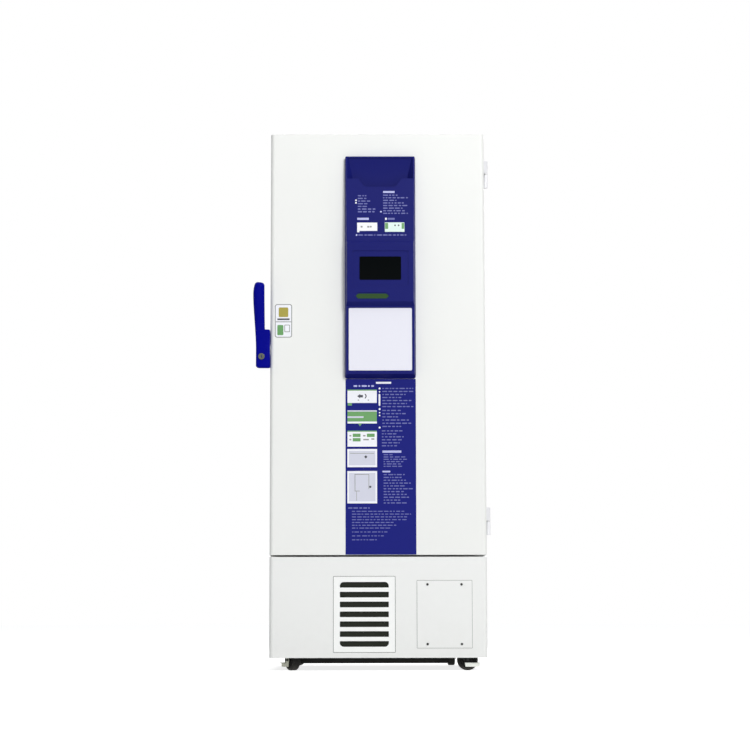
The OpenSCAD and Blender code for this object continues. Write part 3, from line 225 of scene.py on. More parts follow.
def slab(outline: np.ndarray, depth_at: Callable[[np.ndarray], np.ndarray], proud: float) -> Shape:
    """A thin plate on a front face.

    Its front lies proud in front of the surface y = depth_at(z), and its back sinks a little into it.

    Args:
        outline: points of x and z, counterclockwise.
        depth_at: gives the surface's y at each z.
        proud: how far the front stands out.

    Returns:
        The plate as a closed shape.
    """
    count = len(outline)
    surface = depth_at(outline[:, 1])
    front = np.column_stack([outline[:, 0], surface - proud, outline[:, 1]])
    back = np.column_stack([outline[:, 0], surface + PLATE_SUNK, outline[:, 1]])
    sides = grid_quads(2, count, ring_columns=True).tolist()
    return Shape(np.vstack([front, back]), [list(range(count)), list(range(count, 2 * count)), *sides])


def mesh_of(name: str, shape: Shape) -> bpy.types.Mesh:
    """Makes a shape's mesh, merges its doubled points and points its faces outwards."""
    mesh = bpy.data.meshes.new(name)
    mesh.from_pydata(placed(shape.points).tolist(), [], shape.faces)
    if shape.tones:
        mesh.polygons.foreach_set("material_index", np.array(shape.tones, np.int32))
    work = bmesh.new()
    work.from_mesh(mesh)
    bmesh.ops.remove_doubles(work, verts=work.verts, dist=SAME_PLACE)
    bmesh.ops.recalc_face_normals(work, faces=work.faces)
    work.to_mesh(mesh)
    work.free()
    return mesh


def linked(name: str, data: bpy.types.ID) -> bpy.types.Object:
    """Makes an object of a mesh, a lamp or a camera and links it to the scene."""
    made = bpy.data.objects.new(name, data)
    bpy.context.scene.collection.objects.link(made)
    return made


def made_piece(name: str, shape: Shape, body: str, finishes: Sequence[Finish], sharp: float = 40.0) -> bpy.types.Object:
    """Makes a piece from a shape and lets it ride on a body.

    Args:
        name: the piece's name.
        shape: its mesh in the working frame.
        body: the CAD body that it moves with.
        finishes: its finishes, in the order of the shape's tones.
        sharp: edges that bend by more than this many degrees stay crisp.

    Returns:
        The new object.
    """
    mesh = mesh_of(name, shape)
    for finish in finishes:
        mesh.materials.append(finish.material())
    mesh.shade_smooth()
    mesh.set_sharp_from_angle(angle=math.radians(sharp))
    piece = linked(name, mesh)
    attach(piece, body)
    LOG.info("piece %s on %s: %d points, %d faces", name, body, len(mesh.vertices), len(mesh.polygons))
    return piece


# Shader effects that several finishes share

VECTOR = "NodeSocketVector"
FLOAT = "NodeSocketFloat"
COLOUR = "NodeSocketColor"


class Tree:
    """Lays shader nodes in one tree and links them."""

    def __init__(self, tree: bpy.types.NodeTree) -> None:
        """Starts with the given tree."""
        self.tree = tree

    def add(self, kind: str, **values: object) -> bpy.types.Node:
        """Adds a node. Values named in lower case are its settings; the others are its inputs."""
        node = self.tree.nodes.new(kind)
        for name, value in values.items():
            if name[0].islower():
                setattr(node, name, value)
            else:
                node.inputs[name.replace("_", " ")].default_value = value
        return node

    def link(self, source: bpy.types.NodeSocket, target: bpy.types.NodeSocket) -> None:
        """Joins an output to an input."""
        self.tree.links.new(source, target)

    def maths(self, operation: str, first: object, second: object = 0.0) -> bpy.types.NodeSocket:
        """Adds a Math node whose two inputs are sockets or numbers, and returns its output."""
        node = self.add("ShaderNodeMath", operation=operation)
        for socket, value in zip(node.inputs, (first, second)):
            if isinstance(value, bpy.types.NodeSocket):
                self.link(value, socket)
            else:
                socket.default_value = value
        return node.outputs[0]

    def spread(self, value: bpy.types.NodeSocket, limits: tuple[float, float], low: bpy.types.NodeSocket,
               high: bpy.types.NodeSocket) -> bpy.types.NodeSocket:
        """Carries a value that runs between the limits to the span from low to high."""
        node = self.add("ShaderNodeMapRange", From_Min=limits[0], From_Max=limits[1])
        for source, name in ((value, "Value"), (low, "To Min"), (high, "To Max")):
            self.link(source, node.inputs[name])
        return node.outputs["Result"]

    def overlay(self, under: bpy.types.NodeSocket, over: tuple[int, int, int],
                mask: bpy.types.NodeSocket) -> bpy.types.NodeSocket:
        """Lays a plain screen colour over another colour by a mask."""
        mix = self.add("ShaderNodeMix", data_type="RGBA")
        self.link(mask, mix.inputs["Factor"])
        self.link(under, mix.inputs["A"])
        mix.inputs["B"].default_value = linear(over)
        return mix.outputs["Result"]

    def effect(self, group: bpy.types.NodeTree, place: bpy.types.NodeSocket,
               **values: object) -> bpy.types.Node:
        """Puts a shared group into the tree with a finish's own values."""
        node = self.add("ShaderNodeGroup", node_tree=group, **values)
        self.link(place, node.inputs["Vector"])
        return node


def cleared(owner: bpy.types.Material | bpy.types.World) -> Tree:
    """Empties the shader tree of a material or the world and hands it out."""
    owner.use_nodes = True
    owner.node_tree.nodes.clear()
    return Tree(owner.node_tree)


@dataclass
class Effects:
    """Node groups that more than one finish uses, each built once and kept by name."""

    built: dict[str, bpy.types.NodeTree] = field(default_factory=dict)

    def group(self, name: str, inputs: dict[str, str], outputs: dict[str, str],
              fill: Callable[[Tree, bpy.types.Node, bpy.types.Node], None]) -> bpy.types.NodeTree:
        """Builds a group with named sockets the first time, and hands out the same one afterwards.

        Args:
            name: the group's name.
            inputs: socket types by input name.
            outputs: socket types by output name.
            fill: lays the nodes between the group's input and output nodes.

        Returns:
            The group.
        """
        if name not in self.built:
            tree = bpy.data.node_groups.new(name, "ShaderNodeTree")
            for way, sockets in (("INPUT", inputs), ("OUTPUT", outputs)):
                for label, kind in sockets.items():
                    tree.interface.new_socket(name=label, in_out=way, socket_type=kind)
            layer = Tree(tree)
            fill(layer, layer.add("NodeGroupInput"), layer.add("NodeGroupOutput"))
            self.built[name] = tree
        return self.built[name]

    def tone(self) -> bpy.types.NodeTree:
        """Uneven tone: the colour's value rises and falls with two sizes of cloud noise."""

        def fill(tree: Tree, given: bpy.types.Node, result: bpy.types.Node) -> None:
            """Lays value = 1 + amount * (broad + fine - 1)."""
            broad = tree.add("ShaderNodeTexNoise", Detail=3.0, Roughness=0.55)
            fine = tree.add("ShaderNodeTexNoise", Detail=2.0, Roughness=0.6)
            for noise, factor in ((broad, 1.0), (fine, 9.0)):
                tree.link(given.outputs["Vector"], noise.inputs["Vector"])
                tree.link(tree.maths("MULTIPLY", given.outputs["Scale"], factor), noise.inputs["Scale"])
            both = tree.maths("ADD", broad.outputs["Fac"], fine.outputs["Fac"])
            swing = tree.maths("MULTIPLY", tree.maths("SUBTRACT", both, 1.0), given.outputs["Amount"])
            shift = tree.add("ShaderNodeHueSaturation")
            tree.link(tree.maths("ADD", swing, 1.0), shift.inputs["Value"])
            tree.link(given.outputs["Color"], shift.inputs["Color"])
            tree.link(shift.outputs["Color"], result.inputs["Color"])

        inputs = {"Vector": VECTOR, "Color": COLOUR, "Scale": FLOAT, "Amount": FLOAT}
        return self.group("uneven tone", inputs, {"Color": COLOUR}, fill)

    def grain(self) -> bpy.types.NodeTree:
        """Fine surface grain: soft cloud noise and small cells give a height, and slow noise a sheen."""

        def fill(tree: Tree, given: bpy.types.Node, result: bpy.types.Node) -> None:
            """Lays height = cells share * cells + (1 - share) * noise, and sheen from low to high."""
            soft = tree.add("ShaderNodeTexNoise", Detail=2.0, Roughness=0.5)
            cells = tree.add("ShaderNodeTexVoronoi", feature="SMOOTH_F1", Smoothness=0.6)
            slow = tree.add("ShaderNodeTexNoise", Detail=3.0, Roughness=0.6)
            for node, factor in ((soft, 1.0), (cells, 1.0), (slow, 0.03)):
                tree.link(given.outputs["Vector"], node.inputs["Vector"])
                tree.link(tree.maths("MULTIPLY", given.outputs["Scale"], factor), node.inputs["Scale"])
            blend = tree.add("ShaderNodeMix", data_type="FLOAT")
            tree.link(given.outputs["Cells"], blend.inputs["Factor"])
            tree.link(soft.outputs["Fac"], blend.inputs["A"])
            tree.link(cells.outputs["Distance"], blend.inputs["B"])
            tree.link(blend.outputs["Result"], result.inputs["Height"])
            sheen = tree.spread(slow.outputs["Fac"], (0.3, 0.7), given.outputs["Low"], given.outputs["High"])
            tree.link(sheen, result.inputs["Roughness"])

        inputs = {"Vector": VECTOR, "Scale": FLOAT, "Cells": FLOAT, "Low": FLOAT, "High": FLOAT}
        return self.group("fine grain", inputs, {"Height": FLOAT, "Roughness": FLOAT}, fill)

    def brushing(self) -> bpy.types.NodeTree:
        """Brushed lines: noise that is drawn out along one direction gives a height and a roughness."""

        def fill(tree: Tree, given: bpy.types.Node, result: bpy.types.Node) -> None:
            """Lays noise(vector * stretch) and spreads it from low to high."""
            stretch = tree.add("ShaderNodeVectorMath", operation="MULTIPLY")
            tree.link(given.outputs["Vector"], stretch.inputs[0])
            tree.link(given.outputs["Stretch"], stretch.inputs[1])
            lines = tree.add("ShaderNodeTexNoise", Scale=1.0, Detail=4.0, Roughness=0.7)
            tree.link(stretch.outputs["Vector"], lines.inputs["Vector"])
            sheen = tree.spread(lines.outputs["Fac"], (0.25, 0.75), given.outputs["Low"], given.outputs["High"])
            tree.link(sheen, result.inputs["Roughness"])
            tree.link(lines.outputs["Fac"], result.inputs["Height"])

        inputs = {"Vector": VECTOR, "Stretch": VECTOR, "Low": FLOAT, "High": FLOAT}
        return self.group("brushed lines", inputs, {"Height": FLOAT, "Roughness": FLOAT}, fill)

    def dust(self) -> bpy.types.NodeTree:
        """Dust near the floor: a mask that fades out with height and breaks up with noise."""

        def fill(tree: Tree, given: bpy.types.Node, result: bpy.types.Node) -> None:
            """Lays mask = amount * noise * (1 - z / reach)."""
            split = tree.add("ShaderNodeSeparateXYZ")
            tree.link(given.outputs["Vector"], split.inputs["Vector"])
            fade = tree.add("ShaderNodeMapRange", To_Min=1.0, To_Max=0.0)
            tree.link(split.outputs["Z"], fade.inputs["Value"])
            tree.link(given.outputs["Reach"], fade.inputs["From Max"])
            noise = tree.add("ShaderNodeTexNoise", Scale=34.0, Detail=5.0, Roughness=0.65)
            tree.link(given.outputs["Vector"], noise.inputs["Vector"])
            patchy = tree.maths("MULTIPLY", noise.outputs["Fac"], fade.outputs["Result"])
            tree.link(tree.maths("MULTIPLY", patchy, given.outputs["Amount"]), result.inputs["Mask"])

        inputs = {"Vector": VECTOR, "Reach": FLOAT, "Amount": FLOAT}
        return self.group("floor dust", inputs, {"Mask": FLOAT}, fill)


EFFECTS = Effects()
# Colours of the dust film and of the painted shade over a pressed part's upper half
DUST = (168, 164, 154)
PAINTED_SHADE = (26, 26, 25)


class Build(Enum):
    """How a finish's surface is made up."""

    GRAINED = "grained"
    BRUSHED = "brushed"


@dataclass(frozen=True)
class Finish:
    """A surface finish, with its colour as a screen shows it and its structure in real sizes."""

    name: str
    colour: tuple[int, int, int]
    rough: tuple[float, float] = (0.35, 0.45)
    build: Build = Build.GRAINED
    metallic: float = 0.0
    coat: float = 0.0
    coat_rough: float = 0.1
    specular: float = 0.5
    grain: float = 900.0
    cells: float = 0.3
    relief: float = 0.05
    relief_depth: float = 0.0003
    mottle: float = 0.02
    mottle_scale: float = 6.0
    stretch: tuple[float, float, float] = (6.0, 6.0, 900.0)
    dust: float = 0.0
    dust_reach: float = 0.4
    # Height in metres above which the colour turns near black as painted shade, or 0 for none
    painted_shade_above: float = 0.0

    def material(self) -> bpy.types.Material:
        """Builds the finish as a material on Object coordinates, once, and returns it."""
        kept = bpy.data.materials.get(self.name)
        if kept:
            return kept
        made = bpy.data.materials.new(self.name)
        tree = cleared(made)
        shader = tree.add("ShaderNodeBsdfPrincipled", Metallic=self.metallic, Coat_Weight=self.coat,
                          Coat_Roughness=self.coat_rough, Specular_IOR_Level=self.specular)
        place = tree.add("ShaderNodeTexCoord").outputs["Object"]
        self.colour_nodes(tree, place, shader)
        self.relief_nodes(tree, place, shader)
        output = tree.add("ShaderNodeOutputMaterial")
        tree.link(shader.outputs["BSDF"], output.inputs["Surface"])
        return made

    def colour_nodes(self, tree: Tree, place: bpy.types.NodeSocket, shader: bpy.types.Node) -> None:
        """Base colour: uneven tone, then painted shade above a height, and dust."""
        tone = tree.effect(EFFECTS.tone(), place, Color=linear(self.colour), Scale=self.mottle_scale,
                           Amount=self.mottle)
        colour = tone.outputs["Color"]
        # Painted shade: above the given height the colour is laid over with near black
        if self.painted_shade_above:
            split = tree.add("ShaderNodeSeparateXYZ")
            tree.link(place, split.inputs["Vector"])
            above = tree.maths("GREATER_THAN", split.outputs["Z"], self.painted_shade_above)
            colour = tree.overlay(colour, PAINTED_SHADE, above)
        if self.dust:
            film = tree.effect(EFFECTS.dust(), place, Reach=self.dust_reach, Amount=self.dust)
            colour = tree.overlay(colour, DUST, film.outputs["Mask"])
        tree.link(colour, shader.inputs["Base Color"])

    def relief_nodes(self, tree: Tree, place: bpy.types.NodeSocket, shader: bpy.types.Node) -> None:
        """Roughness and bump from the grain or from the brushed lines."""
        low, high = self.rough
        if self.build is Build.BRUSHED:
            lines = tree.effect(EFFECTS.brushing(), place, Stretch=self.stretch, Low=low, High=high)
        else:
            lines = tree.effect(EFFECTS.grain(), place, Scale=self.grain, Cells=self.cells, Low=low, High=high)
        bump = tree.add("ShaderNodeBump", Strength=self.relief, Distance=self.relief_depth)
        tree.link(lines.outputs["Height"], bump.inputs["Height"])
        tree.link(bump.outputs["Normal"], shader.inputs["Normal"])
        tree.link(lines.outputs["Roughness"], shader.inputs["Roughness"])


# Finishes of this freezer

DOOR_WHITE = Finish("door paint", (238, 239, 236), rough=(0.34, 0.42), grain=420.0, cells=0.15, relief=0.12,
                    mottle=0.012, coat=0.08, coat_rough=0.2, specular=0.35)
CABINET_WHITE = Finish("cabinet paint", (234, 235, 232), rough=(0.4, 0.5), grain=420.0, cells=0.15,
                       relief=0.14, mottle=0.016, dust=0.1)
PANEL_WHITE = Finish("machine panel paint", (236, 237, 235), rough=(0.36, 0.46), grain=420.0, cells=0.15,
                     relief=0.12, mottle=0.014, dust=0.14, dust_reach=0.3)
GRILLE_WHITE = Finish("grille moulding", (246, 247, 245), rough=(0.34, 0.44), grain=700.0, cells=0.3,
                      relief=0.08, mottle=0.01)
HINGE_WHITE = Finish("hinge paint", (238, 238, 241), rough=(0.34, 0.44), grain=420.0, cells=0.15,
                     relief=0.1, mottle=0.014)
FRAME_BLACK = Finish("base frame enamel", (22, 23, 22), rough=(0.4, 0.6), grain=500.0, relief=0.2, mottle=0.12,
                     specular=0.15, dust=0.12, dust_reach=0.2)
SCREW_BLACK = Finish("blackened screw", (34, 34, 33), rough=(0.3, 0.45), grain=500.0, relief=0.1, mottle=0.1,
                     specular=0.3)
FOAM = Finish("rigid foam", (214, 190, 130), rough=(0.85, 0.95), grain=260.0, cells=0.8, relief=0.6,
              mottle=0.08)
LINER = Finish("chamber liner steel", (190, 193, 195), rough=(0.24, 0.4), build=Build.BRUSHED, metallic=1.0,
               stretch=(9.0, 9.0, 800.0), relief=0.04, mottle=0.03)
SHELF = Finish("shelf steel", (196, 198, 199), rough=(0.25, 0.42), build=Build.BRUSHED, metallic=1.0,
               stretch=(900.0, 12.0, 12.0), relief=0.05, mottle=0.03)
BREAKER = Finish("breaker plastic", (226, 228, 228), rough=(0.42, 0.55), grain=800.0, relief=0.1)
ZINC = Finish("bright zinc", (196, 197, 194), rough=(0.25, 0.42), metallic=1.0, grain=300.0, cells=0.7,
              relief=0.08, mottle=0.1, mottle_scale=40.0)
CHROME = Finish("lock chrome", (84, 86, 80), rough=(0.2, 0.34), metallic=1.0, grain=500.0, relief=0.05,
                mottle=0.2, mottle_scale=90.0)
PORT_WHITE = Finish("port plastic", (230, 230, 226), rough=(0.4, 0.5), grain=700.0, relief=0.1)
BUFFER_BLACK = Finish("buffer rubber", (42, 42, 42), rough=(0.6, 0.8), grain=600.0, relief=0.3, mottle=0.15,
                      specular=0.2)
FILTER = Finish("filter foam", (38, 41, 34), rough=(0.85, 0.98), grain=330.0, cells=0.9, relief=1.0,
                relief_depth=0.002, mottle=0.3, mottle_scale=60.0, specular=0.2)
# Near black for the painted shadow in the gap round the intake grille
GAP_SHADE_BLACK = Finish("painted gap shade", (30, 31, 29), rough=(0.85, 0.95), grain=500.0, cells=0.6, relief=0.5, mottle=0.2,
              mottle_scale=60.0, specular=0.1)
# Grey for the painted shadow along the service cover's edge
EDGE_SHADE_GREY = Finish("painted cover edge shade", (150, 152, 150), rough=(0.7, 0.85), grain=500.0, cells=0.3, relief=0.2,
                     mottle=0.06, specular=0.15)
COIL = Finish("coil aluminium", (168, 171, 172), rough=(0.35, 0.5), metallic=0.9, grain=400.0, relief=0.1,
              mottle=0.08, mottle_scale=30.0)
FAN_BLACK = Finish("fan plastic", (34, 34, 36), rough=(0.4, 0.55), grain=800.0, relief=0.15, mottle=0.08,
                   specular=0.25)
SHROUD = Finish("shroud plastic", (58, 59, 61), rough=(0.5, 0.65), grain=700.0, relief=0.2, mottle=0.08,
                specular=0.25)
COMPRESSOR = Finish("compressor enamel", (24, 25, 26), rough=(0.25, 0.4), grain=300.0, relief=0.2, mottle=0.1,
                    specular=0.25)
LAGGING = Finish("cold lagging", (30, 30, 31), rough=(0.8, 0.95), grain=300.0, cells=0.6, relief=0.7,
                 mottle=0.2, specular=0.25)
VESSEL = Finish("vessel enamel", (56, 78, 82), rough=(0.35, 0.5), grain=400.0, relief=0.15, mottle=0.08)
COPPER = Finish("copper tube", (184, 115, 78), rough=(0.25, 0.45), metallic=1.0, grain=200.0, relief=0.08,
                mottle=0.15, mottle_scale=30.0)
BOX_STEEL = Finish("box steel", (178, 180, 180), rough=(0.35, 0.5), metallic=0.9, grain=120.0, cells=0.9,
                   relief=0.06, mottle=0.1, mottle_scale=60.0)
INLET_BLACK = Finish("inlet plastic", (22, 22, 23), rough=(0.4, 0.5), grain=800.0, relief=0.12, specular=0.25)
SEAL_GREY = Finish("door seal", (206, 208, 208), rough=(0.5, 0.62), grain=900.0, relief=0.12, mottle=0.03)
SEAL_DARK = Finish("inner seal", (62, 63, 65), rough=(0.6, 0.75), grain=900.0, relief=0.2, mottle=0.08,
                   specular=0.25)
DOOR_PAN = Finish("door pan plastic", (232, 234, 234), rough=(0.3, 0.4), grain=700.0, relief=0.08, mottle=0.015)
INNER_WHITE = Finish("inner door plastic", (229, 232, 234), rough=(0.3, 0.42), grain=500.0, relief=0.1,
                     mottle=0.02)
FASCIA_BLUE = Finish("fascia moulding", (20, 25, 104), rough=(0.36, 0.48), grain=1100.0, cells=0.5, relief=0.25,
                     mottle=0.05, mottle_scale=9.0, specular=0.08)
SCREEN_BLACK = Finish("screen glass", (5, 8, 9), rough=(0.06, 0.12), grain=300.0, relief=0.0, mottle=0.1,
                      specular=0.02)
LENS_GREEN = Finish("lens plastic", (36, 72, 26), rough=(0.18, 0.26), grain=500.0, relief=0.03, mottle=0.1,
                    mottle_scale=50.0, specular=0.2)
NOTE_WHITE = Finish("note plate", (230, 230, 240), rough=(0.28, 0.36), grain=800.0, relief=0.05, mottle=0.01)
SHEET_BLUE = Finish("printed film", (30, 35, 122), rough=(0.3, 0.38), grain=1000.0, relief=0.06, mottle=0.035,
                    mottle_scale=12.0, specular=0.05)
HANDLE_BLUE = Finish("handle plastic", (3, 7, 137), rough=(0.24, 0.32), grain=700.0, relief=0.06, mottle=0.05,
                     mottle_scale=12.0, specular=0.035)
WHEEL_BLACK = Finish("wheel rubber", (24, 24, 22), rough=(0.55, 0.75), grain=500.0, relief=0.3, mottle=0.15,
                     specular=0.2, dust=0.2, dust_reach=0.05)
FORK_BLACK = Finish("fork enamel", (24, 24, 23), rough=(0.3, 0.42), grain=420.0, relief=0.15, mottle=0.12,
                    specular=0.3)
CASTER_ZINC = Finish("caster zinc", (150, 151, 138), rough=(0.25, 0.42), metallic=1.0, grain=260.0, cells=0.7,
                     relief=0.12, mottle=0.3, mottle_scale=40.0)
# Right brake pedal: bright zinc with painted shade over its upper part
PEDAL_ZINC = Finish("pedal zinc", (196, 198, 192), rough=(0.25, 0.42), metallic=1.0, grain=260.0, cells=0.7,
                    relief=0.12, mottle=0.15, mottle_scale=40.0, painted_shade_above=0.0275)


# Dressing of the CAD nodes

# Points of a node that are nearer than this, in metres, are welded
WELD_GAP = 2e-6
# Angles in degrees: faces that bend by less are one flat, and edges that bend by more are softened or crisp
FLAT_BEND = 0.4
SOFT_BEND = 34.0
CRISP_BEND = 38.0


def smoothing_group() -> bpy.types.NodeTree:
    """Geometry nodes that shade every face smooth and keep the strongly bent edges crisp."""
    kept = bpy.data.node_groups.get("smooth shading")
    if kept:
        return kept
    tree = bpy.data.node_groups.new("smooth shading", "GeometryNodeTree")
    for way in ("INPUT", "OUTPUT"):
        tree.interface.new_socket(name="Geometry", in_out=way, socket_type="NodeSocketGeometry")
    layer = Tree(tree)
    given, result = layer.add("NodeGroupInput"), layer.add("NodeGroupOutput")
    faces = layer.add("GeometryNodeSetShadeSmooth", domain="FACE")
    edges = layer.add("GeometryNodeSetShadeSmooth", domain="EDGE", Shade_Smooth=False)
    angle = layer.add("GeometryNodeInputMeshEdgeAngle")
    over = layer.add("FunctionNodeCompare", data_type="FLOAT", operation="GREATER_THAN",
                     B=math.radians(CRISP_BEND))
    layer.link(angle.outputs["Unsigned Angle"], over.inputs["A"])
    layer.link(over.outputs["Result"], edges.inputs["Selection"])
    for source, target in ((given, faces), (faces, edges), (edges, result)):
        layer.link(source.outputs["Geometry"], target.inputs["Geometry"])
    return tree


def dress(nodes: dict[str, bpy.types.Object], name: str, finish: Finish, edge: float = 0.0,
          segments: int = 2) -> None:
    """Gives a CAD node its finish, merges its loose triangles and softens its edges.

    Args:
        nodes: the CAD nodes by name.
        name: the node.
        finish: its finish.
        edge: width of the softened edges in millimetres, or 0 for crisp ones.
        segments: steps round an edge.
    """
    node = nodes[name]
    node.data.materials.clear()
    node.data.materials.append(finish.material())
    weld = node.modifiers.new("merged", "WELD")
    weld.merge_threshold = WELD_GAP
    if edge:
        flats = node.modifiers.new("flats", "DECIMATE")
        flats.decimate_type = "DISSOLVE"
        flats.angle_limit = math.radians(FLAT_BEND)
        bevel = node.modifiers.new("soft edges", "BEVEL")
        bevel.width = edge * MM
        bevel.segments = segments
        bevel.limit_method = "ANGLE"
        bevel.angle_limit = math.radians(SOFT_BEND)
        bevel.use_clamp_overlap = True
        bevel.miter_outer = "MITER_ARC"
    smooth = node.modifiers.new("smooth", "NODES")
    smooth.node_group = smoothing_group()
    if edge:
        normals = node.modifiers.new("face normals", "WEIGHTED_NORMAL")
        normals.keep_sharp = True
    LOG.info("node %s: %s, edges %.1f mm", name, finish.name, edge)


def dress_all(nodes: dict[str, bpy.types.Object], rows: Sequence[tuple]) -> None:
    """Dresses several nodes. A row is a node's name, its finish and, where it has them, edge and segments."""
    for row in rows:
        dress(nodes, *row)


@dataclass
class ScrewHeads:
    """Domed screw heads, each a small turned cap with a socket. Shares are of the radius or the height."""

    radius: float = 4.2
    height: float = 2.4
    wall_share: float = 0.3
    crown_angle: float = 0.12
    socket_rim: tuple[float, float] = (0.32, 0.98)
    socket_floor: tuple[float, float] = (0.28, 0.4)

    def profile(self) -> np.ndarray:
        """Short wall, then a dome of height * cos(a) against radius * sin(a), then the socket."""
        size = np.array([self.radius, self.height])
        a = np.linspace(math.pi / 2, self.crown_angle, 6)[1:-1]
        wall = np.array([[1.0, 0.0], [1.0, self.wall_share]])
        dome = np.column_stack([np.sin(a), self.wall_share + (1 - self.wall_share) * np.cos(a)])
        socket = np.array([self.socket_rim, self.socket_floor, (TIP / self.radius, self.socket_floor[1])])
        return np.vstack([wall, dome, socket]) * size

    def heads(self, places: Sequence[Sequence[float]], axis: Sequence[float]) -> Shape:
        """Heads at the given places, standing out along the axis."""
        return Shape.joined([lathed(self.profile(), place, axis, 14) for place in places])


# Sub-assemblies


@dataclass
class Cabinet:
    """Foamed cabinet with its liner, shelves, hinges and striker."""

    half_width: float = 390.0
    height: float = 1950.0
    back: float = 855.0
    deck_top: float = 405.0
    screw_inset: float = 12.0
    panel_margin: float = 25.0
    panel_screws: int = 6
    row_x: tuple[float, ...] = (-250.0, -85.0, 85.0, 250.0)
    cover_z: tuple[float, ...] = (75.0, 225.0, 385.0)

    def build(self, nodes: dict[str, bpy.types.Object]) -> None:
        """Dresses the cabinet's nodes and adds its screws."""
        dress_all(nodes, (
            ("side_panels", CABINET_WHITE, 0.5), ("end_panels", CABINET_WHITE, 0.4),
            ("rear_panel", CABINET_WHITE, 0.4), ("wall_foam", FOAM), ("inner_liner", LINER),
            ("breaker_frame", BREAKER, 0.6), ("shelves", SHELF, 0.5), ("shelf_supports", SHELF),
            ("hinge_frame_leaves", HINGE_WHITE, 0.6), ("hinge_pins", ZINC, 0.4), ("inner_pivots", ZINC, 0.4),
            ("latch_striker", ZINC, 0.5), ("access_port_sleeve", PORT_WHITE, 0.6),
            ("rear_spacers", BUFFER_BLACK, 1.5)))
        self.rear_screws()

    def rear_screws(self) -> None:
        """Screws round the rear panel and the rear cover, on the back face."""
        side = self.half_width - self.screw_inset
        margin = self.panel_margin
        panel_z = np.linspace(self.deck_top + margin, self.height - margin, self.panel_screws)
        places = []
        for column_z, row_z in ((panel_z, self.height), (self.cover_z, self.deck_top)):
            places += [(way * side, self.back, z) for way in (-1, 1) for z in column_z]
            places += [(x, self.back, row_z - self.screw_inset) for x in self.row_x]
        shape = ScrewHeads().heads(places, (0, 1, 0))
        made_piece("rear_screws", shape, "root", [ZINC])


@dataclass(frozen=True)
class EdgeStrip:
    """Thin flat strip round a rectangular panel, on the flat face behind it, that paints the shadow in the gap round
    the panel.
    """

    name: str
    half: tuple[float, float]
    middle: tuple[float, float]
    corner: float
    face: float
    outside: float
    inside: float
    proud: float
    sunk: float = 0.02

    def build(self, finish: Finish, slot: str) -> None:
        """Carries the strip's flat profile round the panel's outline."""
        front, rear = self.face - self.proud, self.face + self.sunk
        flat = np.array([[-self.outside, front], [self.inside, front], [self.inside, rear],
                         [-self.outside, rear]])
        shape = swept_frame(flat, self.half, self.middle, self.corner, 4)
        made_piece(self.name, shape, "root", [finish])


# Dark strip laid in the grille's gap as painted shadow
GRILLE_GAP_SHADE = EdgeStrip("grille_gap_shade", half=(110.0, 134.5), middle=(-50.0, 200.5), corner=1.5, face=-112.7,
                        outside=1.4, inside=1.8, proud=0.25)
# Grey strip round the service cover as its painted shadow line
COVER_EDGE_SHADE = EdgeStrip("cover_edge_shade", half=(98.0, 119.5), middle=(237.0, 200.5), corner=1.0, face=FRONT_FACE,
                         outside=1.5, inside=0.0, proud=0.3)


@dataclass
class MachineDeck:
    """Refrigeration deck behind the front panel, the grille and the rear cover."""

    def build(self, nodes: dict[str, bpy.types.Object]) -> None:
        """Dresses the deck's nodes and lays strips of painted shadow in the grille's gap and round the cover."""
        dress_all(nodes, (
            ("base_frame", FRAME_BLACK, 0.6), ("floor_skid", FRAME_BLACK, 1.0),
            ("front_panel", PANEL_WHITE, 0.5), ("service_cover", PANEL_WHITE, 1.3),
            ("cover_screws", SCREW_BLACK, 0.3), ("filter_pad", FILTER),
            ("condenser", COIL), ("fan_shroud", SHROUD, 0.6), ("fan_rotor", FAN_BLACK, 0.4),
            ("compressors", COMPRESSOR), ("heat_exchanger", LAGGING), ("oil_vessels", VESSEL),
            ("refrigerant_lines", COPPER), ("control_box", BOX_STEEL, 0.5), ("rear_cover", CABINET_WHITE),
            ("power_inlet", INLET_BLACK, 0.4), ("intake_grille", GRILLE_WHITE, 0.7)))
        GRILLE_GAP_SHADE.build(GAP_SHADE_BLACK, "filter_foam")
        COVER_EDGE_SHADE.build(EDGE_SHADE_GREY, "seal_rubber")


@dataclass
class OuterDoor:
    """Thick foamed door with its pan, bellows seal and hinge leaves."""

    half_width: float = 390.0
    low: float = 412.0
    top: float = 1950.0
    seal_corner: float = 34.0

    def build(self, nodes: dict[str, bpy.types.Object]) -> None:
        """Dresses the door's nodes and puts the swept seal in the place of the plain one."""
        dress_all(nodes, (
            ("door_skin", DOOR_WHITE, 1.4), ("door_foam", FOAM), ("door_liner", DOOR_PAN, 2.0),
            ("hinge_door_leaves", HINGE_WHITE, 0.6), ("handle_bracket", ZINC, 0.6)))
        self.seal()

    def seal(self) -> None:
        """Bellows seal: a closed curve through the folds, carried round the door's edge."""
        folds = np.array([
            [22, -12], [42, -12], [42.5, -10], [38.5, -8.2], [43.2, -6.4], [38.8, -4.6], [42.6, -3],
            [42.4, -0.8], [32, -0.6], [22.5, -0.8], [21.4, -3], [25.2, -4.6], [20.8, -6.4], [25.5, -8.2],
            [21.5, -10]], float)
        shape = swept_frame(closed_spline(folds, 3), (self.half_width, (self.top - self.low) / 2),
                            (0.0, (self.top + self.low) / 2), self.seal_corner)
        piece = made_piece("door_seal", shape, "door", [SEAL_GREY], 60.0)
        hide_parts("door_gasket")


class Ink(Enum):
    """Printing colours. Each value is the place of its finish in INKS."""

    WHITE = 0
    PALE = 1
    LINE = 2
    HEAD = 3
    GREEN = 4
    DARK = 5
    OLIVE = 6
    GREY = 7
    MINT = 8


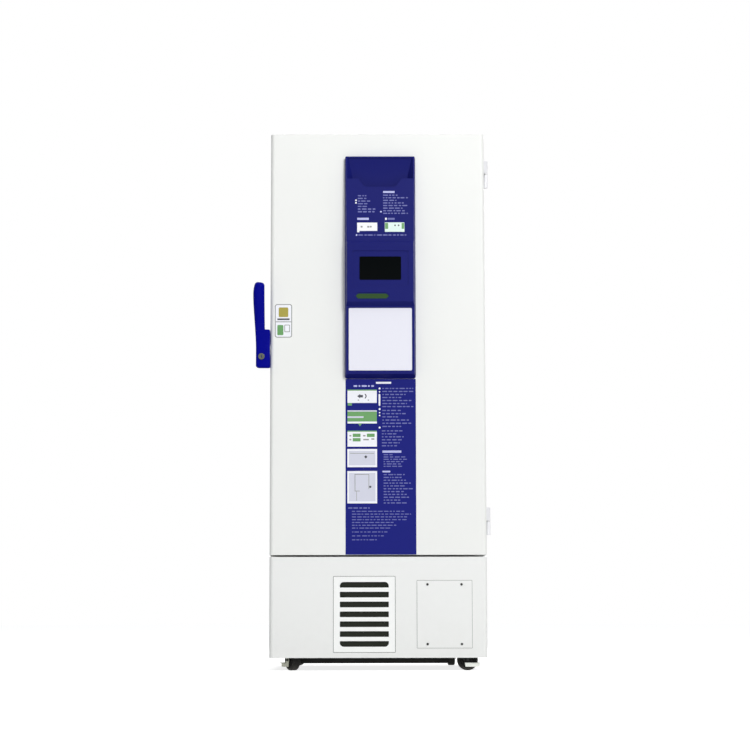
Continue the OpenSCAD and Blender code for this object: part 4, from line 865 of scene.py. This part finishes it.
def ink(name: str, colour: tuple[int, int, int], mottle: float, scale: float = 6.0) -> Finish:
    """Printing ink on film, with the same smooth surface for every colour."""
    return Finish(f"print {name}", colour, rough=(0.32, 0.4), grain=900.0, relief=0.04, mottle=mottle,
                  mottle_scale=scale)


INKS = (
    ink("white", (240, 241, 247), 0.012), ink("pale grey", (206, 208, 222), 0.03),
    ink("pale blue", (86, 91, 160), 0.06, 120.0), ink("light blue", (176, 180, 226), 0.05, 90.0),
    ink("green", (92, 150, 84), 0.08, 60.0), ink("dark", (46, 48, 60), 0.05),
    ink("olive", (162, 150, 48), 0.06, 60.0), ink("grey", (140, 142, 138), 0.05),
    ink("mint", (218, 238, 230), 0.04, 60.0))
# How far each level of printing stands out over the one below
LEVEL = 0.12
# Shortest and longest bar of a ruled row, shortest and longest gap, and the end that's too short for a bar
BAR = (5.0, 19.0)
GAP = (3.0, 5.5)
TOO_SHORT = 4.0
# How far a ruled row's length may differ from its mean share of the width
RAGGED = 0.3
# Corner radius of a bar as a share of its height
BAR_ROUND = 0.3


@dataclass
class Print:
    """Generic printing on one surface: plain cards, blocks and ruled bars, each a thin plate."""

    depth_at: Callable[[np.ndarray], np.ndarray]
    parts: list[Shape] = field(default_factory=list)

    def add(self, outline: np.ndarray, colour: Ink, level: int = 1) -> None:
        """Lays one plate with the given outline, a fine step higher for each level."""
        shape = slab(outline, self.depth_at, LEVEL * level)
        shape.tones = [colour.value] * len(shape.faces)
        self.parts.append(shape)

    def box(self, x: tuple[float, float], z: tuple[float, float], colour: Ink, level: int = 1,
            radius: float = 0.8) -> None:
        """Lays a rectangle with round corners between two places in x and in z."""
        half = ((x[1] - x[0]) / 2, (z[1] - z[0]) / 2)
        ring = rounded_ring(half, min(radius, *half), 4)
        self.add(ring + np.array([(x[0] + x[1]) / 2, (z[0] + z[1]) / 2]), colour, level)

    def dot(self, x: float, z: float, radius: float, colour: Ink, level: int = 1) -> None:
        """Lays a round dot."""
        angle = turns(16)
        self.add(np.column_stack([x + radius * np.cos(angle), z + radius * np.sin(angle)]), colour, level)

    def ruled(self, x: tuple[float, float], rows: Sequence[float], height: float, colour: Ink, fill: float,
              seed: int) -> None:
        """Lays rows of short bars that stand for lines of printing and say nothing.

        Args:
            x: left and right limit.
            rows: height of each row's middle.
            height: height of a bar.
            colour: the bars' ink.
            fill: mean share of the width that a row takes up.
            seed: start of the row's fixed random lengths.
        """
        chance = np.random.default_rng(seed)
        for row in rows:
            end = x[0] + (x[1] - x[0]) * min(1.0, fill + chance.uniform(-RAGGED, RAGGED))
            place = x[0]
            while place < end - TOO_SHORT:
                stop = min(place + chance.uniform(*BAR), end)
                self.box((place, stop), (row - height / 2, row + height / 2), colour, 1, height * BAR_ROUND)
                place = stop + chance.uniform(*GAP)

    def finished(self, name: str) -> bpy.types.Object:
        """Joins the plates into one piece on the door."""
        return made_piece(name, Shape.joined(self.parts), "door", INKS)


@dataclass
class Fascia:
    """Blue moulding with the document pocket, the screen, the status lens and the note plate."""

    pocket_y: tuple[float, float] = (-163.0, -147.0)
    pocket_z: tuple[float, float] = (1546.0, 1779.0)

    def build(self, nodes: dict[str, bpy.types.Object]) -> None:
        """Dresses the fascia's nodes and prints the pocket's front."""
        dress_all(nodes, (
            ("fascia_housing", FASCIA_BLUE, 1.8, 3), ("display_screen", SCREEN_BLACK, 0.4),
            ("status_lens", LENS_GREEN), ("note_plate", NOTE_WHITE, 0.8)))
        self.pocket_print()

    def pocket_depth(self, z: np.ndarray) -> np.ndarray:
        """Depth of the pocket's sloping front, a straight line between its foot and its lip."""
        return np.interp(z, self.pocket_z, self.pocket_y)

    def pocket_print(self) -> None:
        """Two columns of ruled bars, two cards and a bottom row on the pocket's front."""
        sheet = Print(self.pocket_depth)
        sheet.box((20, 62), (1724.5, 1731.5), Ink.HEAD)
        sheet.ruled((-72, -26), np.linspace(1714, 1674, 5), 4.2, Ink.LINE, 0.9, 11)
        sheet.ruled((-72, -8), (1664, 1654), 5.2, Ink.LINE, 1.0, 14)
        for z in (1697, 1687.5):
            sheet.dot(-78.5, z, 3.2, Ink.WHITE)
        sheet.ruled((20, 110), np.linspace(1716, 1648, 8), 4.2, Ink.LINE, 0.8, 12)
        sheet.dot(12, 1654, 3.4, Ink.HEAD)
        sheet.box((-74, -32), (1623.5, 1631.5), Ink.HEAD)
        sheet.box((27, 33), (1623.5, 1631.5), Ink.WHITE)
        sheet.box((36, 62), (1624, 1631), Ink.LINE)
        self.cards(sheet)
        sheet.ruled((-70, 104), [1567], 4.6, Ink.LINE, 0.98, 13)
        sheet.box((-79, -74), (1564, 1570.5), Ink.HEAD)
        sheet.finished("pocket_print")

    def cards(self, sheet: Print) -> None:
        """The two small cards: a white one with a few marks and a green one with a white band."""
        sheet.box((-74.5, -1.4), (1582.5, 1613.4), Ink.WHITE)
        sheet.box((-74.5, -66), (1577.5, 1584), Ink.WHITE)
        for x, width in ((-62, 7), (-38, 8), (-28, 6)):
            sheet.box((x, x + width), (1595, 1601), Ink.GREY, 2)
        sheet.box((26, 97), (1579, 1614), Ink.MINT)
        sheet.box((27, 38), (1590, 1612), Ink.GREEN, 2)
        sheet.box((87, 96), (1590, 1612), Ink.GREEN, 2)
        for x in (60, 73):
            sheet.dot(x + 3, 1603, 3, Ink.DARK, 2)


@dataclass
class InstructionSheet:
    """Blue printed film below the fascia, with generic cards and ruled bars."""

    face: float = FRONT_FACE - 1.0

    def build(self, nodes: dict[str, bpy.types.Object]) -> None:
        """Dresses the film and prints it."""
        dress(nodes, "instruction_sheet", SHEET_BLUE)
        sheet = Print(lambda z: np.full(np.shape(z), self.face))
        self.headings(sheet)
        self.top_cards(sheet)
        self.drawn_cards(sheet)
        self.right_column(sheet)
        self.low_rows(sheet)
        sheet.finished("sheet_print")

    def headings(self, sheet: Print) -> None:
        """Bars in the place of the two headings."""
        sheet.box((-7, 48), (1029, 1036), Ink.WHITE)
        sheet.ruled((-88, -14), [1021], 6.0, Ink.HEAD, 0.9, 21)

    def top_cards(self, sheet: Print) -> None:
        """White card, green card and card of small blocks in the left column."""
        left, right = -110.0, -4.0
        sheet.box((left, right), (959.5, 1006.5), Ink.WHITE)
        sheet.box((left, right), (1004, 1008), Ink.GREEN, 2, 0.4)
        sheet.box((left + 1, left + 16), (950, 959), Ink.GREEN)
        sheet.add(np.array([[-75, 984], [-64, 992], [-64, 988.5], [-54, 988.5], [-54, 979.5], [-64, 979.5],
                            [-64, 976]])[::-1], Ink.DARK, 2)
        sheet.add(np.array([[-48, 992], [-44, 992], [-40, 984], [-44, 976], [-48, 976], [-44, 984]])[::-1],
                  Ink.DARK, 2)
        for x in (-73, -37):
            sheet.box((x, x + 5), (968, 971.5), Ink.GREY, 2)
        sheet.box((left, right), (884.5, 932), Ink.GREEN)
        sheet.box((left, right), (928, 932.5), Ink.PALE, 2, 0.4)
        sheet.box((left, -52), (905, 911), Ink.PALE, 2, 1.5)
        sheet.box((left, right), (885, 892), Ink.WHITE, 2, 0.4)
        sheet.add(np.array([[-73, 885], [-65, 875], [-57, 885]]), Ink.GREEN)
        sheet.box((left, right), (801, 858), Ink.WHITE)
        sheet.box((left, right), (855, 859), Ink.GREEN, 2, 0.4)
        for x, z in ((-91, 836), (-91, 820), (-40, 836)):
            sheet.box((x, x + 28), (z, z + 12), Ink.GREEN, 2)
        for x, z, width in ((-103, 838, 7), (-103, 824, 7), (-54, 838, 9), (-24, 826, 11), (-53, 824, 20)):
            sheet.box((x, x + width), (z, z + 5), Ink.GREY, 2)

    def drawn_cards(self, sheet: Print) -> None:
        """The two cards with plain outlines: each a white rim round a pale field."""
        left, right = -110.5, -3.5
        sheet.box((left, right), (727, 792.5), Ink.WHITE)
        sheet.box((left + 6, right - 6), (734, 786), Ink.PALE, 2)
        sheet.box((left + 10, right - 10), (776, 778), Ink.GREY, 3, 0.3)
        sheet.add(np.array([[-50, 764], [-44, 770], [-38, 764], [-44, 758]])[::-1], Ink.DARK, 3)
        sheet.box((left, right), (596.5, 713), Ink.WHITE)
        sheet.box((left + 6, right - 6), (604, 706), Ink.PALE, 2)
        for x, z in (((-84, -82), (640, 702)), ((-34, -32), (648, 702)), ((-84, -34), (700, 702)),
                     ((-84, -66), (640, 642)), ((-78, -76.5), (606, 640))):
            sheet.box(x, z, Ink.GREY, 3, 0.3)
        sheet.dot(-28, 656, 4.0, Ink.DARK, 3)

    def right_column(self, sheet: Print) -> None:
        """Bullets, a white bar and rows of ruled bars in the right column."""
        sheet.box((2.6, 8.8), (949, 992), Ink.WHITE, 1, 2.5)
        for z in (1012, 1000, 937, 924, 914, 870):
            sheet.dot(6, z, 3.6 if z in (1012, 937, 870) else 2.6, Ink.WHITE)
        sheet.ruled((16, 128), np.linspace(1012, 946, 7), 4.0, Ink.LINE, 0.86, 31)
        sheet.ruled((16, 128), np.linspace(932, 874, 6), 4.2, Ink.LINE, 0.8, 32)
        sheet.ruled((14, 128), np.linspace(858, 804, 6), 4.0, Ink.LINE, 0.75, 33)
        sheet.box((16, 84), (779, 787), Ink.HEAD)
        sheet.ruled((20, 128), np.linspace(772, 730, 6), 3.6, Ink.LINE, 0.6, 34)
        sheet.box((16, 44), (708, 714), Ink.HEAD)
        sheet.ruled((20, 128), np.linspace(700, 598, 11), 4.0, Ink.LINE, 0.8, 35)

    def low_rows(self, sheet: Print) -> None:
        """Faint rows of ruled bars at the foot of the sheet."""
        sheet.ruled((-108, -30), [580], 5.0, Ink.LINE, 0.95, 41)
        sheet.ruled((-94, 128), np.linspace(568, 508, 7), 3.4, Ink.LINE, 0.72, 42)
        sheet.ruled((-94, 90), np.linspace(494, 466, 3), 3.4, Ink.LINE, 0.6, 43)


@dataclass
class SideCard:
    """Small rounded card on the door beside the handle, with plain blocks on it."""

    x: tuple[float, float] = (-373.5, -311.0)
    z: tuple[float, float] = (1198.0, 1320.5)

    def build(self) -> None:
        """Lays the grey rim, the white field and the blocks."""
        sheet = Print(lambda z: np.full(np.shape(z), FRONT_FACE))
        (x0, x1), (z0, z1) = self.x, self.z
        sheet.box(self.x, self.z, Ink.GREY, 1, 8)
        sheet.box((x0 + 3, x1 - 3), (z0 + 3, z1 - 3), Ink.WHITE, 2, 6)
        middle = (z0 + z1) / 2
        sheet.box((x0 + 14, x1 - 14), (middle + 14, z1 - 12), Ink.OLIVE, 3, 4)
        sheet.box((x0 + 9, x1 - 9), (middle + 3, middle + 9), Ink.DARK, 3, 1)
        sheet.box((x0 + 3, x1 - 3), (middle - 5, middle - 2), Ink.GREY, 3, 1)
        sheet.box((x0 + 9, x0 + 31), (z0 + 9, middle - 15), Ink.GREEN, 3, 3)
        sheet.box((x1 - 28, x1 - 8), (z0 + 20, middle - 14), Ink.GREY, 3, 2)
        sheet.box((x1 - 25.5, x1 - 10.5), (z0 + 22.5, middle - 16.5), Ink.WHITE, 4, 1)
        sheet.finished("side_card")


def quarter(radius: float, way: np.ndarray) -> np.ndarray:
    """How far an outline draws in at the way into an end arc: r - sqrt(r^2 - way^2)."""
    return radius - np.sqrt(radius**2 - np.clip(way, 0, radius) ** 2)


@dataclass
class Handle:
    """Side lever: a block that turns on the bracket, with a waisted grip that sweeps to the front.

    The pairs of arcs draw a side in at the foot and at the end.
    """

    foot: float = 1084.0
    shoulder: float = 1226.0
    end: float = 1399.0
    block_x: tuple[float, float] = (-441.6, -390.6)
    grip_x: tuple[float, float] = (-451.0, -410.0)
    front: float = -128.0
    back: float = -40.0
    left_arcs: tuple[float, float] = (12.0, 10.0)
    right_arcs: tuple[float, float] = (3.0, 11.0)
    front_arcs: tuple[float, float] = (12.0, 15.5)
    back_arcs: tuple[float, float] = (8.0, 15.5)
    # Arcs on the right over the block's top edge and up into the grip
    block_arc: float = 3.0
    throat_arc: float = 5.0
    # Arc round the block's top at the back, and the heights about the shoulder where the back runs
    # from there into the grip
    shelf_arc: float = 12.0
    shelf_end: float = 8.0
    grip_start: float = 10.0
    grip_depth: float = 34.0
    hollow: tuple[float, float] = (8.0, 6.0)
    # Lean to the front, which begins below the shoulder and would end past the end
    lean: float = 38.0
    lean_below: float = 40.0
    lean_past: float = 26.0
    # Left side: where it begins to swell, where it is widest and the radius of its bulge
    swell: float = 1150.0
    widest: float = 1351.4
    bulge: float = 136.0
    # Corner radius of the block, how much more the grip has, the height over which it grows, and the
    # largest share of the smaller half size that it takes
    corner: float = 7.0
    corner_gain: float = 8.0
    corner_run: float = 50.0
    corner_share: float = 0.94
    # Slope of the top down to the right and rise of the underside to the back, each with its reach
    slant: float = 5.0
    slant_run: float = 46.0
    lift: float = 16.0
    lift_run: float = 40.0
    # Height between the block's rows, rows along the grip, height over which its end is rounded, and
    # the least height between two rows
    block_row: float = 3.0
    grip_rows: int = 64
    end_run: float = 16.0
    least_row: float = 0.02
    pivot: tuple[float, float] = (-70.0, 1155.0)
    recess: tuple[float, float] = (42.6, 3.8)
    crisp: float = 50.0

    def build(self, nodes: dict[str, bpy.types.Object]) -> None:
        """Dresses the hook and the lock, and puts the lofted lever in the place of the plain one."""
        dress(nodes, "latch_hook", ZINC, 0.8)
        dress(nodes, "lock_cylinder", CHROME, 0.5, 3)
        piece = made_piece("lever_shell", self.loft(), "lever", [HANDLE_BLUE], self.crisp)
        self.cut_recess(piece)
        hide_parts("handle_lever")

    def heights(self) -> tuple[np.ndarray, np.ndarray]:
        """Row heights with the right limit at each.

        The right side is straight over the block, turns over its top edge on an arc, runs level to the
        grip, and turns up into it on another arc.

        Returns:
            Heights and right limits.
        """
        low_arc, end_start = self.left_arcs[0], self.end - self.end_run
        foot_turn, turn = np.linspace(0, math.pi / 2, 10), np.linspace(0, math.pi / 2, 6)
        tip_turn = np.linspace(0.08, math.pi / 2, 14)
        block_right, grip_right = self.block_x[1], self.grip_x[1]
        spans = (
            (self.foot + low_arc * (1 - np.cos(foot_turn)), block_right),
            (np.arange(self.foot + low_arc + self.block_row, self.shoulder - self.block_arc - 1,
                       self.block_row), block_right),
            (self.shoulder - self.block_arc + self.block_arc * np.sin(turn),
             block_right - self.block_arc * (1 - np.cos(turn))),
            (self.shoulder + self.least_row + self.throat_arc * (1 - np.cos(turn)),
             grip_right + self.throat_arc * (1 - np.sin(turn))),
            (np.linspace(self.shoulder + self.throat_arc + 2, end_start, self.grip_rows), grip_right),
            (end_start + self.end_run * np.sin(tip_turn), grip_right))
        z = np.concatenate([rows for rows, _ in spans])
        right = np.concatenate([np.broadcast_to(limit, rows.shape) for rows, limit in spans])
        return z, right

    def left_side(self, z: np.ndarray) -> np.ndarray:
        """Left limit: it eases out from the block to the grip's widest place, then follows the bulge's arc."""
        t = (z - self.swell) / (self.widest - self.swell)
        eased = self.block_x[0] + (self.grip_x[0] - self.block_x[0]) * ease(t)
        over = np.clip(z - self.widest, 0, self.bulge)
        return eased + self.bulge - np.sqrt(self.bulge**2 - over**2)

    def back_side(self, z: np.ndarray, sweep: np.ndarray) -> np.ndarray:
        """Back limit: flat over the block, round its top on an arc, and then the grip's swept back."""
        turn = np.linspace(0, math.pi / 2, 6)
        rise = self.shoulder - 2 * self.shelf_arc + self.shelf_arc * np.sin(turn)
        depth = self.back - self.shelf_arc * (1 - np.cos(turn))
        start = self.shoulder + self.grip_start
        grip = self.front + self.grip_depth
        shelf = np.interp(z, [*rise, self.shoulder - self.shelf_end, start],
                          [*depth, grip + self.hollow[0], grip - self.hollow[1]])
        return np.where(z > start, np.minimum(grip - sweep, grip - self.hollow[1]), shelf)

    def drawn_in(self, z: np.ndarray, arcs: tuple[float, float]) -> np.ndarray:
        """How far a side draws in at each height, on its arcs at the foot and at the end."""
        low, high = arcs
        return quarter(low, self.foot - z + low) + quarter(high, z - self.end + high)

    def loft(self) -> Shape:
        """Lever as a loft of rounded rectangles.

        Each side draws in to the ends on its own arcs, the top slopes down to the right, and the
        underside rises to the back.
        """
        z, right = self.heights()
        start = z - self.shoulder
        sweep = self.lean * ease((start + self.lean_below) / (self.end - self.shoulder + self.lean_past))
        left = self.left_side(z) + self.drawn_in(z, self.left_arcs)
        right = right - self.drawn_in(z, self.right_arcs)
        front = self.front - sweep + self.drawn_in(z, self.front_arcs)
        back = self.back_side(z, sweep) - self.drawn_in(z, self.back_arcs)
        half = np.column_stack([(right - left) / 2, (back - front) / 2])
        corner = self.corner + self.corner_gain * ease(start / self.corner_run)
        rings = rounded_rings(half, np.minimum(corner, self.corner_share * half.min(axis=1)), 8)
        x = rings[..., 0] + ((left + right) / 2)[:, None]
        y = rings[..., 1] + ((front + back) / 2)[:, None]
        across = (x - self.grip_x[0]) / (self.grip_x[1] - self.grip_x[0])
        near_end = ease((z - self.end + self.slant_run) / self.slant_run)[:, None]
        drop = self.slant * near_end * np.clip(across, 0, 1)
        inwards = np.clip((y - self.front) / (self.back - self.front), 0, 1)
        rise = self.lift * (1 - ease((z - self.foot) / self.lift_run))[:, None] * inwards
        return skinned(np.stack([x, y, z[:, None] - drop + rise], axis=-1))

    def cut_recess(self, piece: bpy.types.Object) -> None:
        """Cuts the round recess for the bracket's plate into the lever's inner face."""
        radius, depth = self.recess
        clear = 2.0
        profile = np.array([[TIP, -depth], [radius, -depth], [radius, clear], [TIP, clear]])
        disc = lathed(profile, (self.block_x[1], *self.pivot), (1, 0, 0), 64)
        cutter = linked("recess cutter", mesh_of("recess cutter", disc))
        cut = piece.modifiers.new("recess", "BOOLEAN")
        cut.operation = "DIFFERENCE"
        cut.solver = "EXACT"
        cut.object = cutter
        bpy.context.view_layer.update()
        shaped = bpy.data.meshes.new_from_object(piece.evaluated_get(bpy.context.evaluated_depsgraph_get()))
        piece.modifiers.clear()
        piece.data = shaped
        shaped.set_sharp_from_angle(angle=math.radians(self.crisp))
        bpy.data.meshes.remove(cutter.data)


@dataclass
class InnerDoors:
    """The two insulated inner doors and their bulb seals."""

    half_width: float = 232.0
    seal_reach: float = 4.0
    seal_corner: float = 20.0
    levels: tuple[tuple[float, float], tuple[float, float]] = ((523.3, 1173.7), (1182.3, 1832.7))
    names: tuple[str, str] = ("lower", "upper")

    def build(self, nodes: dict[str, bpy.types.Object]) -> None:
        """Dresses the inner doors and sweeps a seal round each."""
        for name, level in zip(self.names, self.levels):
            dress(nodes, f"inner_door_{name}", INNER_WHITE, 1.6, 3)
            self.seal(name, level)

    def seal(self, name: str, level: tuple[float, float]) -> None:
        """Bulb seal: a closed curve with a round nose, carried round the inner door's back."""
        nose = np.array([[0, 42], [11, 42], [12, 44], [9.5, 48.6], [6, 49.4], [2.5, 48.6], [-0.5, 44]], float)
        half = (self.half_width + self.seal_reach, (level[1] - level[0]) / 2 - self.seal_reach)
        shape = swept_frame(closed_spline(nose, 4), half, (0.0, (level[0] + level[1]) / 2), self.seal_corner, 5)
        piece = made_piece(f"inner_seal_{name}", shape, f"inner_{name}", [SEAL_DARK], 60.0)
        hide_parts(f"inner_gasket_{name}")


@dataclass
class Casters:
    """Four swivel casters, the front pair with brake levers."""

    x: float = 297.0
    y: tuple[float, float] = (-40.0, 780.0)
    plate_z: float = 100.5
    bolt: tuple[float, float] = (39.0, 31.0)
    head_radius: float = 6.5
    head_height: float = 5.0
    head_chamfer: tuple[float, float] = (5.6, 4.2)

    def build(self, nodes: dict[str, bpy.types.Object]) -> None:
        """Dresses forks, wheels, levers and plates, and adds the plates' bolts."""
        for corner in ("front_left", "front_right", "rear_left", "rear_right"):
            dress(nodes, f"fork_{corner}", FORK_BLACK, 0.5)
            dress(nodes, f"wheel_{corner}", WHEEL_BLACK, 0.8, 3)
        dress_all(nodes, (
            ("pedal_left", CASTER_ZINC, 0.4), ("pedal_right", PEDAL_ZINC, 0.4),
            ("caster_plates", CASTER_ZINC, 0.5)))
        self.bolts()

    def bolts(self) -> None:
        """Bolt heads below the corners of each plate."""
        places = [(sx * self.x + px * self.bolt[0], y + py * self.bolt[1], self.plate_z)
                  for sx in (-1, 1) for y in self.y for px in (-1, 1) for py in (-1, 1)]
        inner, wall = self.head_chamfer
        hexagon = np.array([[self.head_radius, 0.0], [self.head_radius, wall], [inner, self.head_height],
                            [TIP, self.head_height]])
        shape = Shape.joined([lathed(hexagon, place, (0, 0, -1), 6) for place in places])
        made_piece("caster_bolts", shape, "root", [ZINC], 30.0)


# Studio


@dataclass
class Studio:
    """Pale floor, white surround, soft lamps and the photograph's camera."""

    eye: tuple[float, float, float] = (-0.028, -8.0, 0.184)
    pitch: float = 6.64
    yaw: float = 0.29
    roll: float = -0.10
    focal: float = 2095.5
    picture: float = 750.0
    sensor: float = 36.0
    aim: tuple[float, float, float] = (0.0, -0.2, 1.0)
    floor_radius: float = 60.0
    floor_steps: int = 64
    floor_glow: float = 0.78
    ambient: float = 0.27

    def build(self) -> None:
        """Makes the camera first, then the floor, the world and the lamps."""
        bpy.context.scene.view_settings.view_transform = "Standard"
        self.camera()
        self.floor()
        self.world()
        self.lamp("key", (5.6, -16.5, 8.0), 3.2, 1780.0)
        self.lamp("fill", (0.2, -5.0, 0.9), 2.6, 14.0)
        self.lamp("top", (0.4, -1.2, 4.6), 3.0, 40.0)
        self.lamp("back", (0.6, 4.4, 2.8), 3.0, 120.0)

    def camera(self) -> None:
        """Camera at the photograph's viewing angle."""
        data = bpy.data.cameras.new("camera")
        data.sensor_width = self.sensor
        data.lens = self.focal / self.picture * self.sensor
        data.clip_end = 200.0
        camera = linked("camera", data)
        pitch, yaw, roll = (math.radians(v) for v in (self.pitch, self.yaw, self.roll))
        forward = Vector((math.sin(yaw) * math.cos(pitch), math.cos(yaw) * math.cos(pitch), math.sin(pitch)))
        right = Vector((math.cos(yaw), -math.sin(yaw), 0.0))
        up = right.cross(forward)
        across = right * math.cos(roll) + up * math.sin(roll)
        above = up * math.cos(roll) - right * math.sin(roll)
        turn = Matrix((across, above, -forward)).transposed()
        camera.matrix_world = Matrix.Translation(self.eye) @ turn.to_4x4()
        bpy.context.scene.camera = camera

    def floor(self) -> None:
        """Round floor whose white carries a little light of its own for the camera."""
        ring = turns(self.floor_steps)
        points = np.column_stack([np.cos(ring), np.sin(ring), np.zeros(len(ring))]) * self.floor_radius
        mesh = bpy.data.meshes.new("floor")
        mesh.from_pydata(points.tolist(), [], [list(range(len(ring)))])
        made = bpy.data.materials.new("studio floor")
        tree = cleared(made)
        paper = tree.add("ShaderNodeBsdfDiffuse", Color=(0.8, 0.8, 0.8, 1.0))
        glow = tree.add("ShaderNodeEmission", Color=(1.0, 1.0, 1.0, 1.0))
        tree.link(tree.maths("MULTIPLY", self.seen_rays(tree), self.floor_glow), glow.inputs["Strength"])
        both = tree.add("ShaderNodeAddShader")
        tree.link(paper.outputs[0], both.inputs[0])
        tree.link(glow.outputs[0], both.inputs[1])
        tree.link(both.outputs[0], tree.add("ShaderNodeOutputMaterial").inputs["Surface"])
        mesh.materials.append(made)
        linked("floor", mesh)

    def seen_rays(self, tree: Tree) -> bpy.types.NodeSocket:
        """1 for rays that a viewer sees, straight or through gloss and glass, and 0 for the others."""
        path = tree.add("ShaderNodeLightPath")
        seen = tree.maths("MAXIMUM", path.outputs["Is Camera Ray"], path.outputs["Is Glossy Ray"])
        return tree.maths("MAXIMUM", seen, path.outputs["Is Transmission Ray"])

    def world(self) -> None:
        """White surround for seen rays and a plain even light for the rest."""
        world = bpy.data.worlds.new("studio")
        bpy.context.scene.world = world
        tree = cleared(world)
        surround = tree.add("ShaderNodeBackground", Color=(1.0, 1.0, 1.0, 1.0), Strength=1.0)
        light = tree.add("ShaderNodeBackground", Color=(0.96, 0.98, 1.0, 1.0), Strength=self.ambient)
        choice = tree.add("ShaderNodeMixShader")
        tree.link(self.seen_rays(tree), choice.inputs["Fac"])
        tree.link(light.outputs[0], choice.inputs[1])
        tree.link(surround.outputs[0], choice.inputs[2])
        tree.link(choice.outputs[0], tree.add("ShaderNodeOutputWorld").inputs["Surface"])

    def lamp(self, name: str, place: tuple[float, float, float], size: float, watts: float) -> None:
        """Square area lamp that looks at the middle of the object."""
        data = bpy.data.lights.new(name, "AREA")
        data.size = size
        data.energy = watts
        lamp = linked(name, data)
        lamp.location = place
        lamp.rotation_mode = "QUATERNION"
        lamp.rotation_quaternion = (Vector(self.aim) - Vector(place)).to_track_quat("-Z", "Y")


def corners(limits: tuple[Vector, Vector]) -> list[list[float]]:
    """Lowest and highest corner as plain lists of numbers."""
    return [list(limits[0]), list(limits[1])]


def main() -> None:
    """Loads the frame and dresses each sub-assembly in turn."""
    logging.basicConfig(level=logging.INFO, format="%(message)s")
    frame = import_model()
    nodes = frame["nodes"]
    Studio().build()
    Cabinet().build(nodes)
    MachineDeck().build(nodes)
    OuterDoor().build(nodes)
    Fascia().build(nodes)
    InstructionSheet().build(nodes)
    SideCard().build()
    Handle().build(nodes)
    InnerDoors().build(nodes)
    Casters().build(nodes)


if __name__ == "__main__":
    main()
